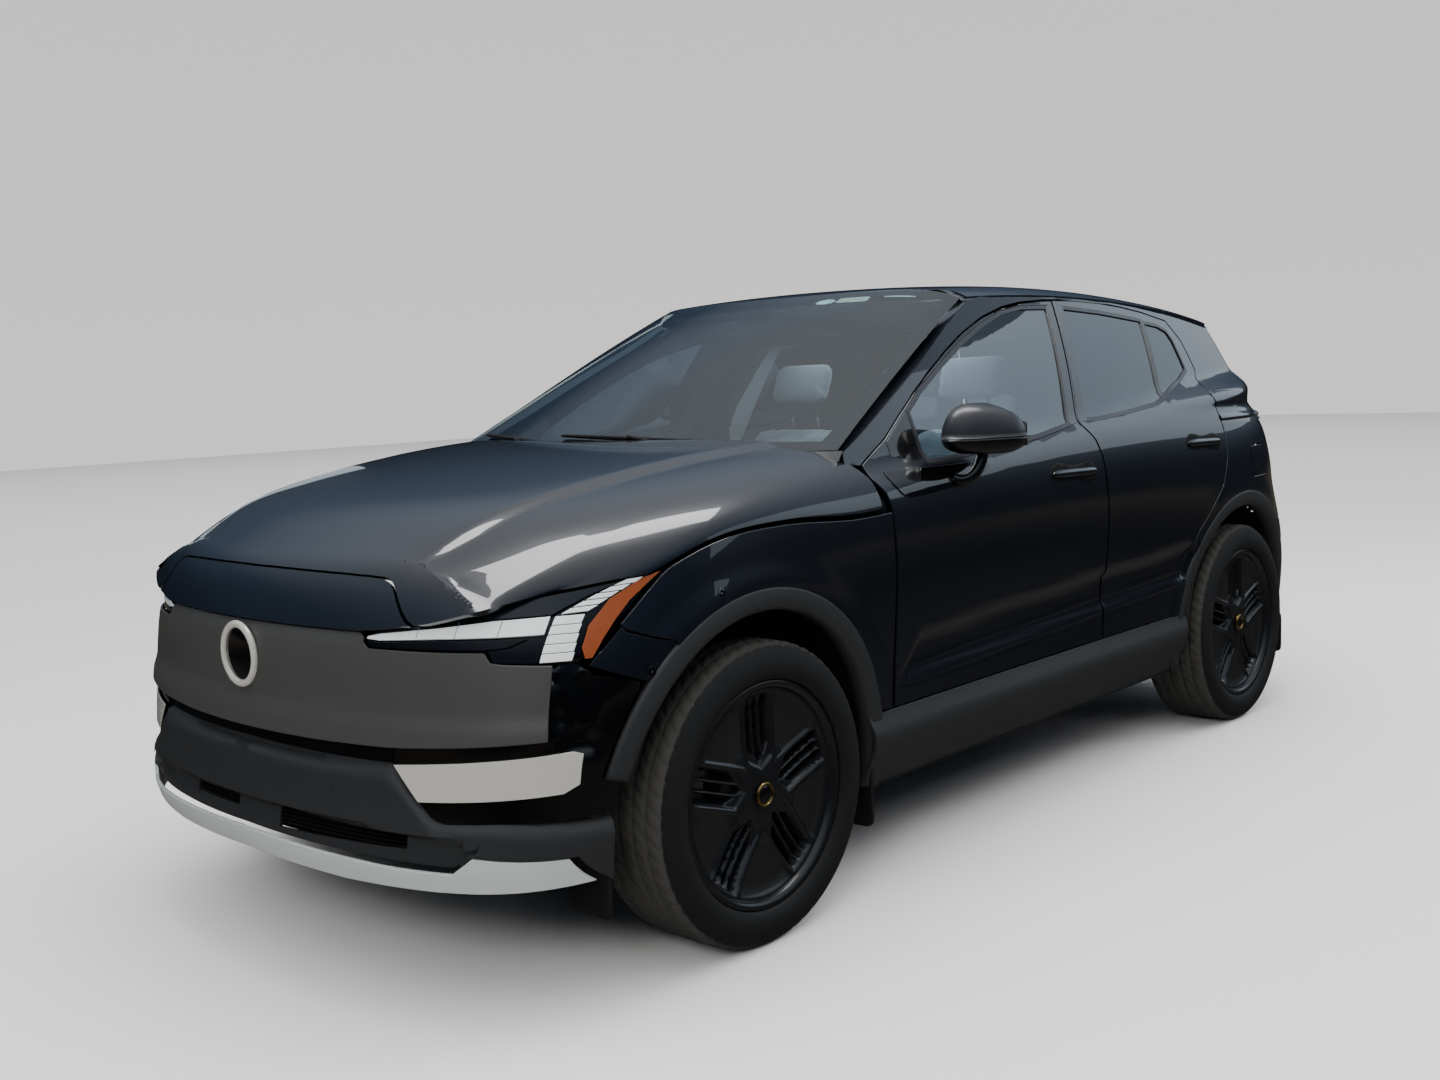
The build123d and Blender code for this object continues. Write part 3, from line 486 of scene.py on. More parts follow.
def piece(name, points, faces, material, body="body", slot=None, replaces=(), thick=0, round_mm=0, sign=1,
          away=(0, 0, 600)):
    """A mesh object from points in millimetres, with faces turned away from a point, riding on its body.
    thick gives it a wall on the inside, and round_mm rounds that wall's edges. slot is not used."""
    p = np.array(points, float).reshape(-1, 3) * (1, sign, 1)
    faces = [np.asarray(f) for f in (faces if isinstance(faces, list) else [faces])]
    total = 0.0
    for f in faces:
        a, b, c = p[f[:, 0]], p[f[:, 1]], p[f[:, 2]]
        n = np.cross(b - a, c - a)
        total += float(np.sum(n * (a - np.array(away, float) * (1, sign, 1))))
    if total < 0:
        faces = [f[:, ::-1] for f in faces]
    mesh = bpy.data.meshes.new(name)
    loops = np.concatenate([f.reshape(-1) for f in faces])
    sizes = np.concatenate([np.full(len(f), f.shape[1]) for f in faces])
    mesh.vertices.add(len(p))
    mesh.vertices.foreach_set("co", (p * MM).astype(np.float32).ravel())
    mesh.loops.add(len(loops))
    mesh.loops.foreach_set("vertex_index", loops.astype(np.int32))
    mesh.polygons.add(len(sizes))
    mesh.polygons.foreach_set("loop_start", (np.cumsum(sizes) - sizes).astype(np.int32))
    mesh.update(calc_edges=True)
    mesh.validate()
    mesh.polygons.foreach_set("use_smooth", np.full(len(mesh.polygons), True))
    mesh.materials.append(material)
    made = bpy.data.objects.new(name, mesh)
    bpy.context.scene.collection.objects.link(made)
    if thick:
        wall = made.modifiers.new("wall", "SOLIDIFY")
        wall.thickness, wall.offset = thick * MM, -1
    if round_mm:
        rim = made.modifiers.new("rounding", "BEVEL")
        rim.width, rim.segments, rim.limit_method, rim.angle_limit = round_mm * MM, 2, "ANGLE", np.radians(50)
        rim.harden_normals = True
    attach(made, body)
    if replaces:
        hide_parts(*replaces)
    return made


def pair(name, points, faces, material, body="body", slot=None, replaces=(), **options):
    """A piece on the left and its mirror image on the right. A body or node whose name ends in _ takes
    the side's name, and any other node is replaced by the left piece."""
    for side_name, sign in SIDES:
        own_body = body + side_name if body.endswith("_") else body
        own = [n + side_name if n.endswith("_") else n for n in replaces if n.endswith("_") or sign > 0]
        piece(f"{name}_{side_name}", points, faces, material, own_body, slot, own, sign=sign, **options)


def sheet(grid, close_rows=False, close_columns=False):
    """A grid, (rows, columns, 3), as points and quads."""
    return grid.reshape(-1, 3), quads(*grid.shape[:2], close_rows, close_columns)


def stacked(grid):
    """A stack of closed loops, one in each row of the grid, as points and quads."""
    return sheet(grid, close_columns=True)


def banded(grid):
    """Closed loops side by side, one in each column of the grid, as points and quads."""
    return sheet(grid, close_rows=True)


def turned(profile, turns, centre):
    """A profile of (radius, y) points turned about the Y axis through centre; returns a grid."""
    r, y = np.array(profile, float).T
    a = np.linspace(0, 2 * np.pi, turns, endpoint=False)[:, None]
    x0, y0, z0 = centre
    return np.stack([x0 + r * np.cos(a), y0 + y + 0 * a, z0 + r * np.sin(a)], -1)


def tube(path, radius, sides=12):
    """A round tube along a list of points, with closed ends; radius is a number or one per point."""
    p = np.array(path, float)
    r = np.broadcast_to(np.asarray(radius, float), len(p))
    d = np.gradient(p, axis=0)
    d /= np.linalg.norm(d, axis=1, keepdims=True)
    ref = np.where(np.abs(d[:, 2:]) > 0.9, np.array([[1.0, 0, 0]]), np.array([[0, 0, 1.0]]))
    s = np.cross(d, ref)
    s /= np.linalg.norm(s, axis=1, keepdims=True)
    t = np.cross(d, s)
    a = np.linspace(0, 2 * np.pi, sides, endpoint=False)
    round_it = s[:, None] * np.cos(a)[:, None] + t[:, None] * np.sin(a)[:, None]
    ring = p[:, None] + r[:, None, None] * round_it
    return np.concatenate([np.repeat(p[:1, None], sides, 1), ring, np.repeat(p[-1:, None], sides, 1)])


def rounded(low, high, power, rows, columns):
    """A closed box with rounded edges, a superellipsoid grid: |x|^p + |y|^p + |z|^p = 1 stretched to the
    corners."""
    low, high = np.array(low, float), np.array(high, float)
    lat = np.linspace(-np.pi / 2, np.pi / 2, rows)[:, None]
    lon = np.linspace(0, 2 * np.pi, columns, endpoint=False)[None]

    def root(v):
        return np.sign(v) * np.abs(v) ** (2 / power)

    unit = np.stack([root(np.cos(lat)) * root(np.cos(lon)), root(np.cos(lat)) * root(np.sin(lon)),
                     root(np.sin(lat)) + 0 * lon], -1)
    return (low + high) / 2 + unit * (high - low) / 2


# ---- outlines, the same as the solids ----

FRONT_DOOR = [(745, 458), (750, 760), (752, 905), (756, 976), (780, 1052), (777, 1086), (655, 1146),
              (566, 1203), (465, 1263), (370, 1313), (248, 1372), (125, 1424), (-12, 1469), (-146, 1500),
              (-273, 1517), (-418, 1527), (-476, 1528), (-303, 1146), (-348, 1085), (-364, 1034),
              (-367, 905), (-367, 458)]
REAR_DOOR = [(-374, 458), (-374, 905), (-371, 1034), (-355, 1085), (-310, 1146), (-483, 1528), (-627, 1528),
             (-807, 1522), (-964, 1510), (-1111, 1493), (-1285, 1464), (-1340, 1391), (-1352, 1283),
             (-1275, 1195), (-1263, 1080), (-1240, 980), (-1185, 885), (-1100, 816), (-1000, 740),
             (-920, 641), (-862, 508), (-845, 458)]
FRONT_GLASS = [(520, 1082), (520, 1212), (439, 1262), (306, 1327), (169, 1387), (9, 1445), (-128, 1483),
               (-257, 1501), (-420, 1504), (-248, 1142), (-40, 1116), (461, 1082)]
REAR_GLASS = [(-358, 1150), (-528, 1504), (-770, 1491), (-1068, 1465), (-945, 1197), (-856, 1180),
              (-606, 1160), (-453, 1151)]
QUARTER_GLASS = [(-965, 1203), (-1088, 1457), (-1193, 1446), (-1250, 1427), (-1268, 1392), (-1268, 1287),
                 (-1171, 1252)]


def grown(points, dx, dz):
    """Outline grown by dx and dz on each side, or shrunk where negative."""
    p = np.array(points, float)
    centre, half = (p.min(0) + p.max(0)) / 2, (p.max(0) - p.min(0)) / 2
    return [(float(a), float(b)) for a, b in centre + (p - centre) * (1 + np.array([dx, dz]) / half)]


def offset(points, gap):
    """Outline moved inwards by gap all round (outwards where negative), corner by corner."""
    p = np.array(points, float)
    area = np.sum(p[:, 0] * np.roll(p[:, 1], -1) - np.roll(p[:, 0], -1) * p[:, 1])
    d = np.roll(p, -1, axis=0) - p
    d /= np.linalg.norm(d, axis=1, keepdims=True)
    n = np.stack([-d[:, 1], d[:, 0]], -1) * np.sign(area)
    before = np.roll(n, 1, axis=0)
    mitre = n + before
    mitre /= np.maximum((mitre * n).sum(1, keepdims=True), 0.35)
    return [(float(a), float(b)) for a, b in p + mitre * gap]


def strip(surface, outer, inner, gap=18):
    """A closed ribbon between two outlines with the same corners."""
    rims = []
    for a, b, c, d in zip(outer, outer[1:] + outer[:1], inner, inner[1:] + inner[:1]):
        n = max(1, int(np.hypot(b[0] - a[0], b[1] - a[1]) / gap))
        t = np.arange(n)[:, None] / n
        rims.append(np.stack([np.array(a) * (1 - t) + np.array(b) * t,
                              np.array(c) * (1 - t) + np.array(d) * t], 1))
    uv = np.concatenate(rims)
    points = surface(uv[..., 0], uv[..., 1])
    return banded(points)


def near_wheel(u, v, axle, r0, r1):
    """1 at radius r0 from a wheel's centre, falling to 0 at r1."""
    return 1 - step((np.hypot(u - axle, v - TYRE_R) - r0) / (r1 - r0))


def side_relief(u, v):
    """Pressed shapes of the body side: a sunk field low on the doors and a raised lip round each arch."""
    top = 636 + (637 - u) * 0.0352
    low = 511 + (735 - u) * 0.0329
    front = 637 + (636 - v) * 0.784
    sunk = step((top - v) / 15) * step((v - low) / 30) * step((front - u) / 18) * step((u + 1000) / 60)
    lip = 5 * near_wheel(u, v, FRONT_AXLE, CLADDING_R, CLADDING_R + 70)
    lip += 4 * near_wheel(u, v, REAR_AXLE, CLADDING_R, CLADDING_R + 70)
    return lip - 15 * sunk


BODY = lifted(side, side_relief)
FENDER = lifted(lower_side, side_relief)


# ---- hood ----

HOOD_EDGE = ([0, 434, 604, 703, 730, 800, 850, 1000], [820, 820, 842, 867, 886, 900, 912, 918])
HOOD_REAR = ([0, 250, 500, 680, 760, 850, 1000], [1025, 1015, 975, 905, 850, 800, 792])


def hood_z(x, y):
    """Height of the hood: flat across the middle, steep at its sides, with a raised centre field between
    creases."""
    flat_x = x + NOSE_BOW * y * y
    edge = side_y(x, hood_side_z(x))
    v = np.clip(np.abs(y) / edge, 0, 1)
    low = hood_side_z(x)
    top = hood_by_x(flat_x)
    z = low + (top - low) * (1 - v ** 7 * 0.995) ** 0.6
    behind = np.clip(1972 - x, 0, None)
    field = 462 + 60 * (1 - np.exp(-behind / 180)) + 0.1 * behind
    raised = 1 - step((np.abs(y) - field) / 34)
    return z + (13 * raised - 6) * (1 - v ** 7) * step((2050 - flat_x) / 200)


def shut_x(y):
    """Line across the hood where its front part meets the nose; it runs out at the front edge."""
    return 2010 - 0.2e-3 * y * y + 45 * step((np.abs(y) - 440) / 120)


def hood_grids(columns=64, rows=90):
    """Columns fan from the middle to the sides and are closest at the steep sides. Each runs from the
    rear edge to where the surface meets the front edge line, and is split at the shut line, which leaves
    a 4 mm gap. Round the corner, between the columns meeting it at x 1933 and 1807, the front edge is a
    straight line."""
    v = 1 - (1 - np.linspace(0, 1, columns)) ** 1.8
    x = np.linspace(760, 2072, 2600)
    xs, vs = np.meshgrid(x, v, indexing="ij")
    y = vs * side_y(xs, hood_side_z(xs))
    z = hood_z(xs, y)
    rear = np.interp(v * 884, *HOOD_REAR)
    met = (z < np.interp(y, *HOOD_EDGE)) & (xs > 1300)
    front = x[np.argmax(met, 0)]
    good = (v < 0.885) | (front < 1810)
    front = np.interp(v, v[good], front[good])
    cut = np.array([x[np.argmax((x > shut_x(y[:, k])) & (x > 1300))] for k in range(columns)])
    cut = np.where(cut < front - 3, cut, front + 2)

    def between(a, b, count, v):
        t = np.linspace(0, 1, count)[:, None]
        x = a + (b - a) * (t + 0.5 * t * (1 - t))
        y = v * side_y(x, hood_side_z(x))
        return np.stack([x, y, hood_z(x, y)], -1)
    ahead = cut < front
    main, lip = between(rear, cut - 2, rows, v), between(cut[ahead] + 2, front[ahead], 12, v[ahead])
    edge = np.stack([np.interp(v, v[good], main[-1, good, k]) for k in range(3)], -1)
    main += (edge - main[-1])[None] * np.linspace(0, 1, rows)[:, None, None] ** 5
    return [np.concatenate([g[:, ::-1] * (1, -1, 1), g[:, 1:]], 1) for g in (main, lip)]


hood, hood_lip = hood_grids()
piece("hood_panel", *sheet(hood), PAINT, body="hood", replaces=["hood"], thick=14, round_mm=3)
piece("hood_lip", *sheet(hood_lip), PAINT, body="hood", thick=14, round_mm=3)


# ---- front fenders ----

def fender_outline():
    """Front fender from the hood's side to the door's shut line, above the arch."""
    stations = (758, 830, 920, 1010, 1100, 1180, 1250, 1310, 1370, 1420, 1460, 1500, 1540)
    top = [(x, float(hood_side_z(x)) - 5) for x in stations]
    seam = [(1568, 908), (1620, 868), (1682, 818)]
    low = curve([(1674, 806), (1600, 779), (1560, 768)], 5)
    inner = arc(FRONT_AXLE, TYRE_R, CLADDING_R - 6, 55, 167.5, 30)
    return top + seam + low + inner + [(757, 458), (757, 760), (759, 905)]


pair("front_fender_panel", *trimmed(FENDER, fender_outline(), 14), PAINT, replaces=["front_fender_"],
     thick=12, round_mm=3)


# ---- shield panel, lamps and bumper ----

def mirrored(half):
    """Closed (y, z) outline from its left half, which starts and ends on the middle."""
    return half + [(-y, z) for y, z in reversed(half) if y > 0]


def panel_relief(u, v):
    """The panel stands out below its crease and leans in at its top edge."""
    return 8 * step((654 - v) / 44) - 4 * step((v - 800) / 18)


PANEL = mirrored([(0, 573), (280, 574), (510, 578), (816, 597), (812, 700), (808, 749), (735, 756),
                  (716, 760), (703, 780), (446, 783), (431, 795), (430, 806), (416, 817), (0, 817)])
piece("shield_panel_skin", *trimmed(lifted(nose, panel_relief), wrapped(PANEL), 16), PANEL_GREY,
      replaces=["shield_panel"], thick=6, round_mm=2.5)


def badge():
    """Blank round badge: a domed black disc in a chromed ring, tangent to the panel."""
    x0 = float(nose(np.array([0.0]), np.array([736.0]))[0, 0]) - 3
    disc = np.array([(x0, 0, 736)])
    r = np.linspace(0, 62, 14)[1:]
    a = np.linspace(0, 2 * np.pi, 60, endpoint=False)
    dome = np.stack([x0 + 12 - 6 * (r[:, None] / 62) ** 2 + 0 * a, r[:, None] * np.cos(a),
                     736 + r[:, None] * np.sin(a)], -1)
    points = np.concatenate([disc + (12, 0, 0), dome.reshape(-1, 3)])
    hub = np.stack([np.zeros(60, int), 1 + np.arange(60), 1 + (np.arange(60) + 1) % 60], -1)
    piece("badge_disc", points, [hub, quads(13, 60, close_columns=True) + 1], GLOSS_BLACK, away=(0, 0, 736))
    b = np.linspace(0, 2 * np.pi, 14, endpoint=False)[:, None]
    ring = np.stack([x0 + 6 + 8 * np.sin(b) + 0 * a, (69 + 9 * np.cos(b)) * np.cos(a),
                     736 + (69 + 9 * np.cos(b)) * np.sin(a)], -1)
    # The ring's pale base colour is a painted reflection of its chrome.
    piece("badge_ring", *sheet(ring, True, True), BRIGHT, away=(x0 - 60, 0, 736))


badge()


def bar(name, outline, rise, material, slot, gap=9, depth=10):
    """A raised piece on the nose wall, both sides; outline is (y, z)."""
    pair(name, *trimmed(lifted(nose, rise), wrapped(outline, gap=gap), gap), material, slot=slot,
         thick=depth, round_mm=1.5)


def headlamps():
    """Dark housings with a painted brow, white light guides split by joints, and an amber side marker."""
    base = wrapped([(431, 804), (443, 786), (697, 785), (715, 758), (838, 753), (852, 800), (868, 850),
                    (873, 905), (850, 905), (800, 893), (733, 879), (706, 859), (604, 833), (440, 811),
                    (431, 808)])
    pair("lamp_housing", *trimmed(lifted(nose, -16), base, 10), GLOSS_BLACK, replaces=["headlamps"], thick=3)
    bar("lamp_brow", [(446, 812), (604, 833), (703, 846), (785, 850), (797, 862), (820, 884), (846, 905),
                      (800, 893), (733, 880), (703, 862), (604, 839), (470, 818)], -2, PAINT, "paint")
    bar("lamp_blade", [(438, 803), (470, 801), (604, 808), (785, 812), (784, 847), (703, 843), (604, 830),
                       (470, 815), (440, 809)], -2, LED, "lamp")
    for k, (y0, z0, top) in enumerate(((560, 807, 832), (640, 809, 842), (716, 811, 844))):
        bar(f"blade_joint_{k}", [(y0, z0), (y0 + 1.6, z0), (y0 + 1.6, top + 1), (y0, top)],
            -1.2, LED_GAP, "lamp", 8, 3)
    bar("lamp_lower_bar", [(434, 800), (444, 787), (700, 786), (738, 790), (764, 806), (604, 804),
                           (470, 797)], -7, GLOSS_BLACK, "gloss_black")
    bar("lamp_pocket", [(706, 783), (718, 760), (786, 757), (783, 808), (745, 786)], -12, GLOSS_BLACK,
        "gloss_black")
    for k in range(5):
        z0, z1 = 756 + 18.4 * k, 773 + 18.4 * k
        bar(f"lamp_column_{k}", [(790, z0), (829 - 1.2 * k, z0), (829 - 1.2 * k, z1), (790, z1)], -3, LED,
            "lamp", 7)
    for k in range(5):
        y0, z0 = 796 + 11 * k, 850 + 12 * k
        bar(f"lamp_arm_{k}", [(y0, z0), (y0 + 30 - 3 * k, z0 + 2), (y0 + 38 - 4 * k, z0 + 12),
                              (y0 + 9, z0 + 10)], -2, LED, "lamp", 7)
    marker = wrapped_x([(1766, 757), (1767, 780), (1744, 823), (1690, 872), (1617, 906), (1564, 918),
                        (1600, 897), (1650, 864), (1690, 828), (1722, 794), (1752, 757)])
    pair("lamp_marker", *trimmed(lifted(nose, -4), marker, 8), AMBER, thick=6, round_mm=1.5)


headlamps()


def corner_relief(u, v):
    """Behind the shield panel's edge an upright channel is sunk further."""
    x = nose(u, v)[..., 0]
    return -12 - 14 * step((x - 1766) / 5) * step((1832 - x) / 5) * step((v - 560) / 8)


def corners():
    """Gloss black corner with its upright channel, and the painted piece over it."""
    arch_edge = arc(FRONT_AXLE, TYRE_R, CLADDING_R + 4, 40, 19, 8)
    arch_edge += arc(FRONT_AXLE, TYRE_R, ARCH_R + 17, 20, 8, 5)
    black = wrapped([(514, 600), (800, 600), (817, 604), (813, 660), (806, 752), (836, 752)], ring=False)
    black += wrapped_x([(1752, 720), (1690, 706), (1652, 694)] + arch_edge, ring=False)
    black += wrapped([(743, 430), (640, 426), (604, 440), (508, 536)], ring=False)
    upper = wrapped_x([(1762, 742), (1752, 752), (1680, 812), (1674, 800), (1600, 774), (1556, 767)]
                      + arc(FRONT_AXLE, TYRE_R, CLADDING_R + 4, 56, 43, 5) + [(1690, 711)])
    pair("corner_black", *trimmed(lifted(nose, corner_relief), black, 12), GLOSS_BLACK,
         replaces=["bumper_corners"], thick=4, round_mm=1.2)
    pair("corner_panel", *trimmed(nose, upper, 10), PAINT, thick=8, round_mm=3)
    # The insert's pale base colour is a painted reflection of its chrome.
    bar("bumper_insert", [(514, 542), (846, 571), (855, 564), (849, 500), (833, 484), (579, 469)], -3,
        BRIGHT, "gloss_black", 12, 4)


corners()


def bumper_relief(u, v):
    """The bumper leans back along its top edge, over which a shelf is sunk under the shield panel, and a
    long band below its face is sunk round the intakes."""
    y = np.abs(nose(u, v)[..., 1])
    top = np.interp(y, [0, 278, 504, 573, 617, 743, 865], [529, 528, 534, 464, 430, 434, 402])
    low = np.interp(y, [0, 279, 501, 542, 619, 743, 863], [522, 508, 508, 480, 405, 407, 379])
    band_top, band_end = 414 - 0.045e-3 * y * y, 697 - 0.96 * (363 - v)
    sunk = step((band_top - v) / 7) * step((band_end - y) / 9)
    return -11 * step((v - low) / (top - low)) - 16 * step((v - top) / 7) - 20 * sunk


def front_bumper():
    """Bumper between the arches, with two intakes and two slots over backings painted near black as their
    shade, and vanes inside.
    """
    low = [(842, 285), (836, 346), (698, 364), (684, 350), (656, 333), (498, 334), (288, 338), (0, 343)]
    ahead = [(0, 566), (500, 572), (512, 541), (578, 470), (617, 436), (743, 440)]
    arch_edge = arc(FRONT_AXLE, TYRE_R, ARCH_R + 17, 6.5, -11.5, 8)
    right = wrapped(ahead, ring=False) + wrapped_x(arch_edge, ring=False) + wrapped(low, ring=False)
    outline = right + [(-u, v) for u, v in right[::-1] if u > 0]
    intakes = [[(-262, 374), (-35, 378), (-35, 404), (-262, 400)],
               [(142, 356), (547, 366), (547, 394), (142, 406)]]
    slots = [[(-188, 558), (-38, 559), (-38, 566), (-188, 565)],
             [(22, 559), (152, 558), (152, 565), (22, 566)]]
    holes = [wrapped(h, gap=8) for h in intakes + slots]
    piece("front_bumper_skin", *trimmed(lifted(nose, bumper_relief), outline, 11, holes), CHARCOAL,
          replaces=["front_bumper"], thick=8, round_mm=2)
    # The backings behind the intakes and slots are flat sheets in near black: painted shade of the deep
    # openings.
    back = wrapped(mirrored([(0, 350), (600, 345), (600, 420), (0, 425)]))
    piece("intake_backing", *trimmed(lifted(nose, -45), back, 30), DARK, thick=3)
    back = wrapped(mirrored([(0, 545), (500, 540), (500, 600), (0, 610)]))
    piece("slot_backing", *trimmed(lifted(nose, -22), back, 30), DARK, thick=3)
    for k in range(4):
        z = 366 + 9 * k
        line = nose(np.linspace(-300, 560, 60), np.full(60, z)) - (26, 0, 0)
        piece(f"intake_vane_{k}", *stacked(tube(line, 2.6, 8)), DARK)


front_bumper()


def skid_plate():
    """Silver plate under the bumper, with raised blades at its ends."""
    half = [(0, 341), (288, 332), (498, 326), (661, 325), (690, 350), (702, 361), (829, 344), (836, 280),
            (804, 280), (650, 280), (375, 276), (0, 288)]

    def rise(u, v):
        return 1.5 * step((v - 300) / 20) - 1.5

    piece("skid_plate_skin", *trimmed(lifted(nose, rise), wrapped(mirrored(half)), 14), SILVER,
          replaces=["front_skid_plate"], thick=10, round_mm=3)


skid_plate()


# ---- claddings ----

def cladding(axle, name, a0, a1):
    """Arch cladding: a profile carried round the wheel, flat outside, rolled at both edges and turned
    into the arch. Its points are (radius, rise); the rise stands on the fender, and the last ones go back
    into the arch."""
    profile = np.array([(487, -8), (486, 0), (483, 4.5), (477, 6.0), (455, 6.0), (441, 4.5), (434, 1),
                        (430, -6), (429, -18), (429, -42)], float)
    a = np.radians(np.linspace(a0, a1, 110))[:, None]
    x = axle + profile[:, 0] * np.cos(a)
    z = TYRE_R + profile[:, 0] * np.sin(a)
    y = lower_side(x, z)[..., 1] + profile[:, 1]
    pair(name, *sheet(np.stack([x, y, z], -1)), CHARCOAL, replaces=["arch_claddings"] if axle > 0 else (),
         thick=3, away=(axle, 500, TYRE_R))


cladding(FRONT_AXLE, "front_arch_cladding", 17, 192)
cladding(REAR_AXLE, "rear_arch_cladding", -12, 193)


def sill_profile(u, v):
    """The sill stands proud below a wide bevel, and turns in again towards its lower edge."""
    return 24 * step((458 - v) / 62) - 30 * step((396 - v) / 138)


def sill_cladding():
    """Sill between the arches, and its flat underside."""
    outline = arc(FRONT_AXLE, TYRE_R, 431, 167, 193, 8) + [(840, 258), (-930, 258)]
    outline += arc(REAR_AXLE, TYRE_R, 431, -13, 12, 8)
    outline += [(-925, 455), (760, 455)]
    under = lower_side(np.linspace(862, -948, 60), np.full(60, 259.0))
    pair("sill_cladding", *trimmed(lifted(lower_side, sill_profile), outline, 20), CHARCOAL,
         replaces=["sill_claddings"], thick=12, round_mm=3)
    floor = np.stack([under, under * (1, 0, 1) + (0, 700, 0)], 1)
    pair("sill_underside", *sheet(floor), CHARCOAL, away=(0, 750, 600))


sill_cladding()


# ---- doors ----

def door_core(surface, outline, d0, d1, step_mm=24):
    """Inner part of a door: its inner face at depth d1 and the wall that joins it to depth d0."""
    points, faces = trimmed(lifted(surface, -d1), outline, step_mm)
    rim = np.array(along(outline, step_mm * 0.7))
    inset = np.array(offset([tuple(p) for p in rim], 10))
    rings = ((rim, d0), (rim, d1 - 12), (inset, d1))
    wall = np.stack([lifted(surface, -d)(p[:, 0], p[:, 1]) for p, d in rings], 1)
    return (points, faces), banded(wall)


def door_pieces(end, outline, glasses, belt_split):
    """Skin, window trim, glass and inner panel of the two doors of one end of the car."""
    seals = [offset(g, -9) for g in glasses]
    core = offset(outline, 22)
    cut_low = [p for p in along(core, 20) if p[1] <= belt_split]
    body = f"{end}_door_"
    pair(f"{end}_door_skin", *trimmed(BODY, outline, 20, seals), PAINT, body=body, replaces=[body],
         thick=12, round_mm=3)
    for k, (glass, seal) in enumerate(zip(glasses, seals)):
        tag = f"{end}_{'quarter_' if k else ''}window"
        pair(f"{tag}_trim", *strip(lifted(side, 0.5), seal, offset(glass, 4)), MIRROR_CAP, body=body,
             thick=8, round_mm=1.5)
        replaced = [f"{end}_door_glass_"] if k == 0 else ()
        pane = FRONT_SIDE_GLASS if end == "front" else PRIVACY_GLASS
        pair(f"{tag}_glass", *trimmed(lifted(side, -4), offset(glass, 1), 30), pane, body=body,
             replaces=replaced)
    _, wall = door_core(BODY, core, 10, 44)
    holes = [offset(g, -20) for g in glasses]
    pair(f"{end}_door_frame", *trimmed(lifted(side, -44), core, 24, holes), TRIM, body=body, thick=2)
    pair(f"{end}_door_edge", *wall, PAINT, body=body)
    face, wall = door_core(side, cut_low, 40, 108)
    pair(f"{end}_door_card", *face, TRIM, body=body, away=(0, 3000, 700))
    pair(f"{end}_door_card_edge", *wall, TRIM, body=body)
    for k, glass in enumerate(glasses):
        inner = offset(glass, 2)
        reveal = np.array(along(inner, 24))
        g = np.stack([lifted(side, -d)(reveal[:, 0], reveal[:, 1]) for d in (6, 44)], 1)
        pair(f"{end}_window_reveal_{k}", *banded(g), TRIM, body=body, away=(0, 600, 5000))


door_pieces("front", FRONT_DOOR, [FRONT_GLASS], 1060)
door_pieces("rear", REAR_DOOR, [REAR_GLASS, QUARTER_GLASS], 1110)


def pillar_panels():
    """Gloss black panels on both doors' pillar edges, and the sail at the mirror."""
    front = [(-250, 1136), (-424, 1510), (-469, 1522), (-300, 1140)]
    rear = [(-316, 1142), (-486, 1522), (-530, 1510), (-362, 1144)]
    sail = [(655, 1098), (655, 1138), (566, 1196), (534, 1214), (534, 1090), (560, 1084)]
    for tag, outline, body in (("front_door_pillar", front, "front"), ("rear_door_pillar", rear, "rear"),
                               ("mirror_sail", sail, "front")):
        pair(f"{tag}_panel", *trimmed(lifted(side, 1.2), outline, 12), GLOSS_BLACK, body=f"{body}_door_",
             thick=2, round_mm=0.8)


pillar_panels()


def handles():
    """Flush handle blades over shallow cups, which are flat near-black patches on the skin: painted shade of
    the cups.
    """
    for end, x0, x1, z0 in (("front", -308, -44, 984), ("rear", -1205, -958, 1022)):
        x = np.linspace(0, 1, 40)[:, None]
        b = np.linspace(0, 2 * np.pi, 20, endpoint=False)[None]
        taper = (1 - np.abs(2 * x - 1) ** 5) ** 0.5
        u = x0 + (x1 - x0) * x + 0 * b
        v = z0 + 10 + 6 * x + 12.5 * taper * np.sin(b)
        rise = 4 + 10 * taper * np.cos(b)
        p = side(u, v) + normals(side, u, v) * rise[..., None]
        middle = (x0 + x1) / 2
        cup = [(x0 - 9, z0 + 8), (x0 + 6, z0 - 9), (middle, z0 - 7), (x1 - 6, z0), (x1 + 10, z0 + 14),
               (x1 - 4, z0 + 34), (middle, z0 + 35), (x0 + 8, z0 + 29), (x0 - 9, z0 + 8)]
        cup = curve(cup, 60)[:-1]
        # The cup is a flat patch lifted 0.6 mm off the skin; its near black is painted shade of a recess.
        pair(f"{end}_handle_cup", *trimmed(lifted(side, 0.6), cup, 8), DARK, body=f"{end}_door_",
             slot="gloss_black", thick=1)
        pair(f"{end}_handle", *stacked(p), PAINT, body=f"{end}_door_", away=tuple(p.reshape(-1, 3).mean(0)))


handles()


# ---- side shell: rear quarter, pillars, cant rail, roof and windscreen ----

def quarter_outline():
    """Rear quarter panel from the rear door to the tail lamp, above the arch and bumper."""
    edge = offset(REAR_DOOR, -7)
    door = [p for p in edge[13:] if p[1] > 440]
    inner = arc(REAR_AXLE, TYRE_R, CLADDING_R - 6, 11.5, 134, 34)
    return door + inner + [(-1790, 705), (-1893, 705), (-1893, 868), (-1893, 1082), (-1800, 1084)]


